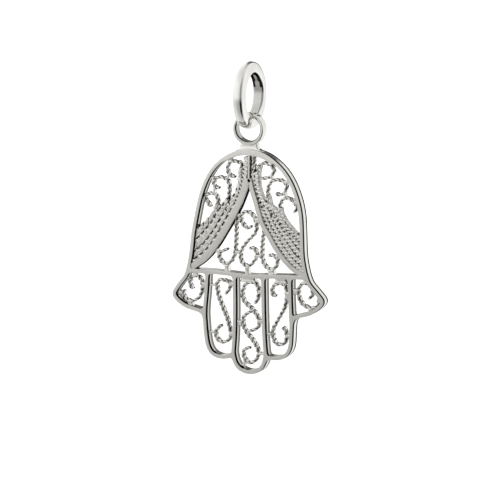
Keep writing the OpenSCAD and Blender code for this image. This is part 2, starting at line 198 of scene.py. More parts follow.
THUMB_SCROLLS = (
    (
        (-6.9, -1.85), (-7.22, -1.25), (-7.05, -0.6), (-6.5, -0.32), (-5.98, -0.58), (-5.76, -1.25),
        (-5.82, -2.05), (-6.2, -2.75), (-6.8, -3.1), (-7.45, -3.12), (-7.95, -2.75), (-8.02, -2),
    ),
    (
        (6.95, -2.1), (7.32, -1.65), (7.28, -0.95), (6.75, -0.45), (6.12, -0.5), (5.76, -1.1),
        (5.76, -1.9), (6.1, -2.62), (6.8, -3.05), (7.5, -3.08), (8, -2.7), (8.1, -2),
    ),
)

# Solder joints: X and Y of one end, X and Y of the other, and the width, in mm
SOLDER = (
    (-2.1, 12.6, -2.45, 13.05, 0.5), (-2.4, 11.3, -2.6, 10.75, 0.32), (-4.1, 10.7, -4.8, 10.8, 0.36),
    (-4.1, 9.7, -4.25, 9, 0.3), (-5.2, 8.5, -5.75, 8.5, 0.5), (2.4, 12.5, 2.8, 12.95, 0.6),
    (2.6, 11.35, 2.7, 10.75, 0.32), (4.2, 10.6, 4.8, 10.9, 0.5), (4.1, 9.6, 4.25, 8.95, 0.3),
    (5.35, 8.5, 5.8, 8.55, 0.6), (-1.05, 6.75, -1.6, 6.8, 0.5), (0.65, 6.2, 1.3, 6.35, 0.7),
    (-1.1, 2.55, -1.75, 2.65, 0.4), (0.7, 2.3, 1.4, 2.3, 0.4), (-3.6, 2.35, -4.1, 2.8, 0.4),
    (3.1, 2.25, 3.6, 2.7, 0.5), (-2.75, 1.2, -2.75, 0.3, 0.6), (-0.35, 1.15, -0.3, 0.1, 0.55),
    (2.5, 0.9, 2.6, 0.3, 0.85), (-2.45, -1, -1.75, -1, 0.5), (-2.4, -6.6, -1.8, -6.6, 0.6),
    (-4.1, -6.5, -5.1, -6.5, 0.36), (-3.95, -1.2, -4.95, -1.2, 0.26), (2.65, -6.3, 1.8, -6.3, 0.4),
    (4.25, -1.9, 4.85, -1.9, 1.2), (4.25, -6.4, 4.95, -6.4, 0.46), (3.7, -0.6, 3.7, 0.1, 1.7),
    (-0.9, -5.3, -1.65, -5.3, 0.8), (0.95, -1.7, 1.65, -1.7, 0.5), (1, -5, 1.65, -5, 0.5),
    (-0.2, -0.65, -0.2, 0, 2.1), (0.9, -8.6, 1.8, -8.6, 0.32), (-0.6, -9.55, -0.95, -10.15, 0.4),
    (-5.78, -1.3, -5.1, -1.3, 0.8), (-6.5, -0.35, -6.5, 0.2, 0.7), (-7.2, -3.1, -7.2, -3.7, 0.8),
    (-8, -2.3, -8.6, -2.3, 0.5), (5.76, -1.4, 5, -1.4, 0.8), (6.6, -0.45, 6.6, 0.2, 0.7),
    (7.2, -3.1, 7.2, -3.7, 0.8), (8.05, -2.3, 8.6, -2.3, 0.5),
)

# Steps in each span of a drawn line
LINE_STEPS = 6
# Name of the mark on a mesh where its silver is dark: tarnished in the twisted wires' valleys, and painted
# shade and painted dark reflections on walls, notches and holes
SHADE_AND_TARNISH_MARK = "shade_and_tarnish"
# Name of the mark on the light tent that says how bright it is
GLOW = "glow"
# Where the leaves are sawn off under the frame, lower and upper point on the left and on the right
LEFT_CUT = ((-6.95, 1.5), (-6.43, 5.2))
RIGHT_CUT = ((6.42, 1.5), (6.26, 5))
# How much larger a solder block starts, because its subdivision shrinks it
SOLDER_SWELL = 1.15
# Points nearer to each other than this are one point, in mm
SAME_PLACE = 0.002
# Slack in telling which points lie on a face or in a notch, in mm or in pitches
SLACK = 0.01

log = logging.getLogger("pendant")


class Body(Enum):
    """The two bodies of the pendant."""

    BAIL = "bail"
    HAND = "hand"


class Slot(Enum):
    """The record's material slots."""

    SILVER = "silver"
    POLISHED = "polished_silver"


class Marks(Enum):
    """The random patterns in the silver: their spots per mm and their levels of finer spots."""

    MOTTLE = (3.5, 3)
    SMUDGES = (2.3, 6)
    WAVES = (1.1, 1)
    STROKES = (4, 3)
    PITS = (14, 3)


class Pick(Enum):
    """What edit mode selects."""

    POINTS = (True, False, False)
    EDGES = (False, True, False)
    FACES = (False, False, True)


def held(value: float, low: float = 0, high: float = 1) -> float:
    """Holds a value between two limits."""
    return min(max(value, low), high)


def facing(share: float) -> float:
    """Says how well a surface faces along an axis, from 0 for hardly at all to 1 for half and more.

    Args:
        share: The part of its normal that lies along the axis.

    Returns:
        The value from 0 to 1.
    """
    return held((share - 0.1) / 0.4)


def pick_only(*pieces: bpy.types.Object) -> None:
    """Selects these objects and nothing else, and makes the first one active.

    Args:
        pieces: The objects to select.
    """
    bpy.ops.object.select_all(action="DESELECT")
    for piece in pieces:
        piece.select_set(True)
    bpy.context.view_layer.objects.active = pieces[0]


@contextmanager
def editing(piece: bpy.types.Object, pick: Pick = Pick.POINTS) -> Iterator[None]:
    """Opens edit mode on one object with all of it selected, and closes it again.

    Args:
        piece: The mesh object to edit.
        pick: What edit mode selects.
    """
    pick_only(piece)
    bpy.ops.object.mode_set(mode="EDIT")
    bpy.context.tool_settings.mesh_select_mode = pick.value
    bpy.ops.mesh.select_all(action="SELECT")
    yield
    bpy.ops.object.mode_set(mode="OBJECT")


def select_where(piece: bpy.types.Object, test: Callable[[object], bool], pick: Pick) -> int:
    """Selects the points, edges or faces that pass a test, in edit mode.

    Args:
        piece: The mesh object that is being edited.
        test: Says of one bmesh element whether it is wanted.
        pick: Which kind of element is tested.

    Returns:
        The number of elements selected.
    """
    bpy.context.tool_settings.mesh_select_mode = pick.value
    bpy.ops.mesh.select_all(action="DESELECT")
    drawing = bmesh.from_edit_mesh(piece.data)
    elements = {Pick.POINTS: drawing.verts, Pick.EDGES: drawing.edges, Pick.FACES: drawing.faces}[pick]
    wanted = [element for element in elements if test(element)]
    for element in wanted:
        element.select_set(True)
    drawing.select_flush_mode()
    bmesh.update_edit_mesh(piece.data)
    return len(wanted)


def modify(piece: bpy.types.Object, kind: str, **settings: object) -> None:
    """Adds a modifier to a piece and applies it.

    Args:
        piece: The object to modify.
        kind: The modifier's type.
        settings: The modifier's settings by name.
    """
    pick_only(piece)
    bpy.ops.object.modifier_add(type=kind)
    modifier = piece.modifiers[-1]
    for name, value in settings.items():
        setattr(modifier, name, value)
    bpy.ops.object.modifier_apply(modifier=modifier.name)


def draw_line(points: Sequence[Point]) -> bpy.types.Object:
    """Draws a smooth flat line through points, one point after another.

    Args:
        points: The points on the bench, in mm.

    Returns:
        The curve object.
    """
    bpy.ops.object.select_all(action="DESELECT")
    bpy.ops.curve.primitive_bezier_curve_add(location=(0, 0, 0))
    line = bpy.context.object
    bpy.ops.object.mode_set(mode="EDIT")
    bpy.ops.curve.select_all(action="SELECT")
    bpy.ops.curve.delete(type="VERT")
    for x, y in points:
        bpy.ops.curve.vertex_add(location=(x, y, 0))
    bpy.ops.curve.select_all(action="SELECT")
    bpy.ops.curve.handle_type_set(type="AUTOMATIC")
    bpy.ops.object.mode_set(mode="OBJECT")
    line.data.dimensions = "2D"
    line.data.resolution_u = LINE_STEPS
    return line


def to_mesh(piece: bpy.types.Object) -> None:
    """Makes a curve object a mesh, with its doubles merged and its faces turned outwards.

    Args:
        piece: The curve object.
    """
    pick_only(piece)
    bpy.ops.object.convert(target="MESH")
    close_up(piece)


def close_up(piece: bpy.types.Object) -> None:
    """Merges a mesh object's doubles and turns its faces outwards.

    Args:
        piece: The mesh object.
    """
    with editing(piece):
        bpy.ops.mesh.remove_doubles(threshold=SAME_PLACE)
        bpy.ops.mesh.normals_make_consistent(inside=False)


def round_corners(reach: float, steps: int) -> None:
    """Rounds the selected corners of a section, in edit mode.

    Args:
        reach: How far from a corner its rounding starts, in mm.
        steps: Steps round it.
    """
    bpy.ops.mesh.bevel(affect="VERTICES", offset_type="OFFSET", offset=reach, segments=steps, profile=0.5)


def repeat_along(piece: bpy.types.Object, count: int, step: float, merge: float) -> None:
    """Repeats a mesh object along X, each copy joined to the one before.

    Args:
        piece: The mesh object.
        count: How often it is there in the end.
        step: Distance from one copy to the next, in mm.
        merge: How close two points are to be merged, in mm.
    """
    modify(
        piece, "ARRAY", fit_type="FIXED_COUNT", count=count, use_relative_offset=False,
        use_constant_offset=True, constant_offset_displace=(step, 0, 0), use_merge_vertices=True,
        merge_threshold=merge,
    )


def mirror_to_back(piece: bpy.types.Object) -> None:
    """Mirrors the front half of a mesh object to its back."""
    modify(piece, "MIRROR", use_axis=(False, False, True), use_clip=False, merge_threshold=SAME_PLACE)


def bend_stock(line: Line, stock: Callable[[float], bpy.types.Object]) -> bpy.types.Object:
    """Bends a new length of stock along a line on the bench.

    Args:
        line: The middle line.
        stock: Makes the straight stock, from the origin along X, from its length in mm.

    Returns:
        The mesh object.
    """
    route = draw_line(line)
    piece = stock(route.data.splines[0].calc_length())
    modify(piece, "CURVE", object=route, deform_axis="POS_X")
    remove(route)
    return piece


def join(pieces: Sequence[bpy.types.Object]) -> bpy.types.Object:
    """Joins mesh objects into the first one.

    Args:
        pieces: The mesh objects.

    Returns:
        The first one, now with all the others in it.
    """
    pick_only(*pieces)
    if len(pieces) > 1:
        bpy.ops.object.join()
    return pieces[0]


def remove(*pieces: bpy.types.Object) -> None:
    """Deletes helper objects that a piece was made with."""
    pick_only(*pieces)
    bpy.ops.object.delete()


def darken(piece: bpy.types.Object, shade: Callable[[bpy.types.MeshVertex, float], float]) -> None:
    """Marks where a piece's silver has tarnished, and where shade and dark reflections are painted on it.

    Args:
        piece: The mesh object.
        shade: Gives how dark a point is marked, from 0 to 1, from the point and its mark so far.
    """
    pick_only(piece)
    if SHADE_AND_TARNISH_MARK not in piece.data.attributes:
        bpy.ops.geometry.color_attribute_add(
            name=SHADE_AND_TARNISH_MARK, domain="POINT", data_type="FLOAT_COLOR", color=(0, 0, 0, 1)
        )
    for point, mark in zip(piece.data.vertices, piece.data.attributes[SHADE_AND_TARNISH_MARK].data):
        tarnish_and_shade = held(shade(point, mark.color[0]))
        mark.color = (tarnish_and_shade, tarnish_and_shade, tarnish_and_shade, 1)


def stand_up(piece: bpy.types.Object, height: float) -> None:
    """Moves a piece from the bench to its place in the part, in metres and upright.

    Args:
        piece: The mesh object on the bench.
        height: Height in the part of the bench's Y = 0, in mm.
    """
    piece.matrix_world = (
        Matrix.Translation((0, 0, height * MM)) @ Matrix.Rotation(math.pi / 2, 4, "X") @ Matrix.Scale(MM, 4)
    )
    pick_only(piece)
    bpy.ops.object.transform_apply(location=True, rotation=True, scale=True)


def hand_over(
    piece: bpy.types.Object,
    name: str,
    body: Body,
    finish: bpy.types.Material,
    smooth: float = 40,
    flat: bool = False,
    height: float = CROSSBAR_Z,
) -> bpy.types.Object:
    """Smooths a finished piece, stands it up in its place, dresses it and lets it ride on its body.

    Args:
        piece: The mesh object on the bench.
        name: The piece's name.
        body: The body that it moves with, and whose solid it stands for.
        finish: The material.
        smooth: Edges that turn by less than this many degrees are smooth.
        flat: Whether broad faces stay flat up to their rounded edges.
        height: Height in the part of the bench's Y = 0, in mm.

    Returns:
        The piece.
    """
    piece.name = piece.data.name = name
    pick_only(piece)
    bpy.ops.object.shade_smooth_by_angle(angle=math.radians(smooth))
    if flat:
        modify(piece, "WEIGHTED_NORMAL", keep_sharp=True)
    stand_up(piece, height)
    piece.data.materials.clear()
    piece.data.materials.append(finish)
    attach(piece, body.value)
    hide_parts(body.value)
    log.info("%s: %d faces on %s", name, len(piece.data.polygons), body.value)
    return piece


class Shading:
    """The node tree of one material, with short calls that add nodes and join them."""

    def __init__(self, name: str) -> None:
        """Starts a material with no nodes.

        Args:
            name: The material's name.
        """
        self.material = bpy.data.materials.new(name)
        self.material.use_nodes = True
        self.tree = self.material.node_tree
        self.tree.nodes.clear()

    def add(
        self, kind: str, inputs: dict[str | int, object] | None = None, **settings: object
    ) -> bpy.types.Node:
        """Adds one node.

        Args:
            kind: The node's type.
            inputs: Values or sockets for the node's inputs, by name or number.
            settings: The node's own settings by name.

        Returns:
            The node.
        """
        node = self.tree.nodes.new(kind)
        for name, value in settings.items():
            setattr(node, name, value)
        for key, value in (inputs or {}).items():
            if isinstance(value, bpy.types.NodeSocket):
                self.tree.links.new(value, node.inputs[key])
            else:
                node.inputs[key].default_value = value
        return node

    def millimetres(self, stretch: Sequence[float] = (1, 1, 1), turn: float = 0) -> bpy.types.NodeSocket:
        """Gives the place on the piece, in mm.

        Args:
            stretch: How much finer the pattern is along X, Y and Z.
            turn: Turn of the pattern about Y, in degrees.

        Returns:
            The socket with the place.
        """
        place = self.add("ShaderNodeTexCoord").outputs["Object"]
        return self.add(
            "ShaderNodeMapping",
            {
                "Vector": place,
                "Rotation": (0, math.radians(turn), 0),
                "Scale": tuple(s / MM for s in stretch),
            },
        ).outputs["Vector"]

    def noise(self, place: bpy.types.NodeSocket, scale: float, detail: float = 2) -> bpy.types.NodeSocket:
        """Adds a soft random pattern and returns its value.

        Args:
            place: The place on the piece.
            scale: Spots per mm.
            detail: Levels of finer spots.

        Returns:
            The socket with the value, from 0 to 1.
        """
        inputs = {"Vector": place, "Scale": scale, "Detail": detail}
        return self.add("ShaderNodeTexNoise", inputs).outputs["Fac"]

    def between(
        self, value: bpy.types.NodeSocket, low: float, high: float, start: float, end: float
    ) -> bpy.types.NodeSocket:
        """Maps a value from one range to another, held at both ends.

        Args:
            value: The socket to map.
            low: The value that becomes start.
            high: The value that becomes end.
            start: First end of the new range.
            end: Second end of the new range.

        Returns:
            The socket with the new value.
        """
        return self.add(
            "ShaderNodeMapRange",
            {"Value": value, "From Min": low, "From Max": high, "To Min": start, "To Max": end},
        ).outputs["Result"]

    def combine(self, operation: str, one: object, two: object) -> bpy.types.NodeSocket:
        """Adds a math node, held between 0 and 1.

        Args:
            operation: The math node's operation.
            one: Its first input.
            two: Its second input.

        Returns:
            The socket with the result.
        """
        return self.add("ShaderNodeMath", {0: one, 1: two}, operation=operation, use_clamp=True).outputs[0]

    def mix(self, share: object, first: Colour, second: Colour) -> bpy.types.NodeSocket:
        """Mixes two colours.

        Args:
            share: Share of the second colour, from 0 to 1.
            first: The first colour.
            second: The second colour.

        Returns:
            The socket with the mixed colour.
        """
        inputs = {"Factor": share, 6: (*first, 1), 7: (*second, 1)}
        return self.add("ShaderNodeMix", inputs, data_type="RGBA").outputs[2]

    def bump(
        self, height: bpy.types.NodeSocket, depth: float, below: bpy.types.NodeSocket | None
    ) -> bpy.types.NodeSocket:
        """Lays a relief over the one below it.

        Args:
            height: The relief, from 0 to 1.
            depth: Its depth in mm.
            below: The normal that it adds to.

        Returns:
            The socket with the new normal.
        """
        inputs = {"Height": height, "Distance": depth * MM, "Strength": 1.0}
        if below is not None:
            inputs["Normal"] = below
        return self.add("ShaderNodeBump", inputs).outputs["Normal"]


@dataclass(frozen=True)
class SilverFinish:
    """One finish of sterling silver: its colour, its dark colour for tarnished patches and painted shade, its
    polish and the marks in it.

    Attributes:
        name: The material's name.
        colour: Colour of the clean metal.
        tarnish_and_shade: Colour of the metal where it has tarnished, and of the painted shade and painted
            dark reflections that a mesh's mark calls for.
        clouded: Share of tarnished colour in the patches on the open surface, from 0 to 1.
        roughness: Roughness of the polish.
        uneven: How much the roughness varies.
        waves: Depth of the soft waves left by handwork, in mm.
        scratches: Depth of the fine polishing marks, in mm.
        pits: Depth of the fine pitting, in mm.
        patches: Tarnished patches per mm.
        clear: How much of the open surface stays clear of them, from 0 to 1.
        crisp: The marked darkness at which a painted line starts to be crisp, and at which it is full.
        strokes: Turns of the polishing marks about Y, in degrees.
        stroke_shape: How much finer the polishing marks are along X, Y and Z.
    """

    name: str
    colour: Colour
    tarnish_and_shade: Colour = (0.02, 0.018, 0.016)
    clouded: float = 0.04
    roughness: float = 0.1
    uneven: float = 0.05
    waves: float = 0.003
    scratches: float = 0.0005
    pits: float = 0.0005
    patches: float = 0.7
    clear: float = 0.45
    crisp: tuple[float, float] = (0.55, 0.8)
    strokes: tuple[float, ...] = (12, -34, 67)
    stroke_shape: tuple[float, float, float] = (0.35, 9, 9)

    def make(self) -> bpy.types.Material:
        """Mixes the material.

        Returns:
            The material.
        """
        shading = Shading(self.name)
        place = shading.millimetres()
        patches = shading.noise(place, self.patches, 4)
        patches = shading.between(patches, self.clear, self.clear + 0.2, 0, self.clouded)
        shade_and_tarnish = shading.add("ShaderNodeAttribute", attribute_name=SHADE_AND_TARNISH_MARK).outputs["Fac"]
        shade_and_tarnish = shading.combine("MAXIMUM", shade_and_tarnish, shading.between(shade_and_tarnish, *self.crisp, 0, 1))
        mottle = shading.between(shading.noise(place, *Marks.MOTTLE.value), 0.3, 0.5, 0.96, 1)
        # Painted shade and painted dark reflections from the mesh's mark, added to the random tarnished
        # patches
        dark = shading.combine("ADD", patches, shading.combine("MULTIPLY", shade_and_tarnish, mottle))
        colour = shading.mix(dark, self.colour, self.tarnish_and_shade)
        smudges = shading.noise(place, *Marks.SMUDGES.value)
        low, high = self.roughness - self.uneven, self.roughness + self.uneven
        roughness = shading.between(smudges, 0.35, 0.65, max(low, 0.02), high)
        roughness = shading.combine("ADD", roughness, shading.combine("MULTIPLY", dark, 0.25))
        relief = shading.bump(shading.noise(place, *Marks.WAVES.value), self.waves, None)
        for turn in self.strokes:
            turned = shading.millimetres(self.stroke_shape, turn)
            strokes = shading.noise(turned, *Marks.STROKES.value)
            relief = shading.bump(shading.between(strokes, 0.55, 0.75, 1, 0), self.scratches, relief)
        relief = shading.bump(shading.noise(place, *Marks.PITS.value), self.pits, relief)
        # Tarnished patches and painted shade are dull at every angle, so they also take away the mirror's
        # bright rim
        metal = shading.add(
            "ShaderNodeBsdfPrincipled",
            {
                "Base Color": colour,
                "Metallic": 1.0,
                "Roughness": roughness,
                "Specular Tint": shading.combine("SUBTRACT", 1.0, dark),
                "Normal": relief,
            },
        )
        shading.add("ShaderNodeOutputMaterial", {"Surface": metal.outputs["BSDF"]})
        return shading.material


@dataclass(frozen=True)
class TwistedWire:
    """Two drawn wires twisted together and rolled flat: the stock that every scroll is bent from.

    Attributes:
        width: Width of the rolled wire as seen from the front, in mm.
        depth: Depth of the rolled wire, in mm.
        half_turn: Length of half a turn of the twist, in mm.
        strand: Thickness of one strand as a share of the twisted depth.
        rolled: Share of the twisted depth that is left after rolling.
        clean: How far up from the valley to the crest the dark mark of tarnished silver and painted shade
            reaches, as a share.
        sides: Sides of a strand.
        steps: Steps in half a turn.
    """

    width: float = 0.42
    depth: float = 0.8
    half_turn: float = 0.6
    strand: float = 0.66
    rolled: float = 0.5
    clean: float = 0.72
    sides: int = 10
    steps: int = 6

    def stock(self, length: float) -> bpy.types.Object:
        """Twists and rolls a straight wire that starts at the origin and runs along X.

        Args:
            length: The wire's length in mm.

        Returns:
            The mesh object.
        """
        count = max(2, round(length / self.half_turn))
        step = length / count
        radius = self.depth * self.strand / 2
        offset = self.depth / 2 - radius
        bpy.ops.mesh.primitive_circle_add(vertices=self.sides, radius=radius, location=(offset, 0, 0))
        wire = bpy.context.object
        bpy.ops.object.transform_apply(location=True, rotation=False, scale=False)
        modify(
            wire, "SCREW", angle=math.pi, screw_offset=step, steps=self.steps, render_steps=self.steps,
            use_merge_vertices=False,
        )
        with editing(wire):
            bpy.ops.mesh.duplicate()
            bpy.ops.transform.rotate(value=math.pi, orient_axis="Z", center_override=(0, 0, 0))
            bpy.ops.mesh.select_all(action="SELECT")
            bpy.ops.transform.rotate(value=-math.pi / 2, orient_axis="Y", center_override=(0, 0, 0))
        # The valleys are marked dark: tarnished silver, and painted shade between the strands
        self.darken_valleys(wire, math.sqrt(radius**2 - offset**2))
        flat = self.rolled * self.depth / 2
        with editing(wire):
            for level in (flat, -flat):
                select_where(wire, lambda point: point.co.z * level > flat**2, Pick.POINTS)
                bpy.ops.transform.resize(value=(1, 1, 0), center_override=(0, 0, level))
            bpy.ops.mesh.select_all(action="SELECT")
            bpy.ops.transform.resize(
                value=(1, self.width / self.depth, 1 / self.rolled), center_override=(0, 0, 0)
            )
        repeat_along(wire, count, step, merge=0.01)
        with editing(wire):
            bpy.ops.mesh.select_all(action="DESELECT")
            bpy.ops.mesh.select_non_manifold(extend=False)
            bpy.ops.mesh.fill_holes(sides=0)
        close_up(wire)
        return wire

    def darken_valleys(self, wire: bpy.types.Object, valley: float) -> None:
        """Marks the valleys between the strands dark: the silver tarnishes there, and shade is painted where
        it falls between the strands.

        Args:
            wire: The twisted wire before it is rolled, along X.
            valley: Distance of the valleys from the wire's middle, in mm.
        """
        clean = valley + (self.depth / 2 - valley) * self.clean
        darken(wire, lambda point, _: (clean - math.hypot(point.co.y, point.co.z)) / (clean - valley))


@dataclass(frozen=True)
class RolledRow:
    """Twisted wire rolled to a flat ribbon, which keeps notches at one edge and valleys from its twist.

    Attributes:
        width: Width as seen from the front, in mm.
        pitch: Distance from one notch to the next, in mm.
        notch: Depth of a notch, in mm.
        mouth: Share of the pitch that a notch's floor takes.
        strips: Strips of faces across its width.
        columns: Columns of faces in a pitch.
        depth: Depth from front to back, in mm.
        valley: Depth of the valleys that cross its front, in mm.
        valley_reach: Half a valley's width as a share of the pitch.
        edge: Rounding of its edges, in mm.
        wall_painted_shade: Painted shade on its walls outside the notches.
        notch_painted_shade: How far the black painted shade of a notch reaches past its floor, as a share of
            the pitch.
    """

    width: float
    pitch: float
    notch: float
    mouth: float
    strips: int
    columns: int = 8
    depth: float = 0.8
    valley: float = 0.035
    valley_reach: float = 0.09
    edge: float = 0.06
    wall_painted_shade: float = 0.3
    notch_painted_shade: float = 0.13

    def stock(self, length: float) -> bpy.types.Object:
        """Rolls a straight ribbon that starts at the origin and runs along X.

        Args:
            length: The ribbon's length in mm.

        Returns:
            The mesh object.
        """
        count = max(2, round(length / self.pitch))
        step = length / count
        bpy.ops.mesh.primitive_grid_add(x_subdivisions=self.columns, y_subdivisions=self.strips, size=1)
        row = bpy.context.object
        with editing(row):
            bpy.ops.transform.resize(value=(step, self.width, 1))
            bpy.ops.transform.translate(value=(step / 2, 0, 0))
        repeat_along(row, count, step, merge=0.001)
        with editing(row):
            select_where(
                row,
                lambda point: point.co.y > self.width / 2 - SLACK
                and self.off_notch(point.co.x / step) < self.mouth / 2 + SLACK,
                Pick.POINTS,
            )
            bpy.ops.transform.translate(value=(0, -self.notch, 0))
        with editing(row, Pick.FACES):
            bpy.ops.mesh.extrude_region_move(
                TRANSFORM_OT_translate={"value": (0, 0, self.depth / 2 - self.edge)}
            )
            for across in (0.3, 0.7):
                bpy.ops.mesh.inset(
                    thickness=self.edge * across, depth=self.edge * (1 - across), use_even_offset=False
                )
        face = self.depth / 2 - SLACK
        with editing(row):
            select_where(
                row,
                lambda point: point.co.z > face
                and self.off_valley(point.co.x / step, point.co.y) < self.valley_reach,
                Pick.POINTS,
            )
            bpy.ops.transform.translate(value=(0, 0, -self.valley))
        # Painted shade: black in the notches, grey on the walls
        darken(row, lambda point, _: self.shade(point.co, step))
        mirror_to_back(row)
        close_up(row)
        return row

    def shade(self, place: Vector, step: float) -> float:
        """Says how dark a straight ribbon is painted: painted shade, black in the notches and less on its
        walls.

        Args:
            place: A point of the ribbon's front half.
            step: Distance from one notch to the next, in mm.

        Returns:
            The painted shade, from 0 to 1.
        """
        if place.z > self.depth / 2 - self.valley - SLACK:
            return 0
        in_notch = place.y > 0 and self.off_notch(place.x / step) < self.mouth / 2 + self.notch_painted_shade
        return 1 if in_notch else self.wall_painted_shade

    @staticmethod
    def off_notch(turns: float) -> float:
        """Gives the distance to the nearest notch, as a share of the pitch."""
        return abs(turns - round(turns))

    def off_valley(self, turns: float, across: float) -> float:
        """Gives the distance to the valley that crosses from notch to notch, as a share of the pitch."""
        return self.off_notch(turns - across / self.width - 0.5)

    def bend(self, line: Line, drop: float = 0) -> bpy.types.Object:
        """Bends a new length of the ribbon along a line on the bench.

        Args:
            line: The ribbon's middle line.
            drop: How much lower its front lies than half its depth, in mm.

        Returns:
            The mesh object.
        """
        row = bend_stock(line, self.stock)
        if drop:
            with editing(row):
                bpy.ops.transform.resize(value=(1, 1, 1 - 2 * drop / self.depth), center_override=(0, 0, 0))
        return row


@dataclass
class DrawnBand:
    """A smooth band of drawn silver with rounded edges.

    Attributes:
        width: Width as seen from the front, in mm.
        depth: Depth from front to back, in mm.
        inward: How far its rounded edges reach across its front, in mm.
        along: How far they reach down its sides, in mm.
        steps: Steps round an edge.
    """

    width: float
    depth: float
    inward: float
    along: float
    steps: int = 6

    def section(self) -> bpy.types.Object:
        """Draws the band's section: its width along X and its depth along Y.

        Returns:
            A mesh of one closed loop of edges.
        """
        bpy.ops.mesh.primitive_plane_add(size=1)
        section = bpy.context.object
        squeeze = self.inward / self.along
        with editing(section):
            bpy.ops.transform.resize(value=(self.width, self.depth * squeeze, 1))
            round_corners(self.inward, self.steps)
            bpy.ops.mesh.select_all(action="SELECT")
            bpy.ops.transform.resize(value=(1, 1 / squeeze, 1), center_override=(0, 0, 0))
            bpy.ops.mesh.delete(type="ONLY_FACE")
        return section

    def bend(self, line: Line) -> bpy.types.Object:
        """Bends the band along a line on the bench.

        Args:
            line: The band's middle line.

        Returns:
            The mesh object.
        """
        section = self.section()
        pick_only(section)
        bpy.ops.object.convert(target="CURVE")
        band = draw_line(line)
        band.data.bevel_mode = "OBJECT"
        band.data.bevel_object = section
        band.data.use_fill_caps = True
        to_mesh(band)
        remove(section)
        return band


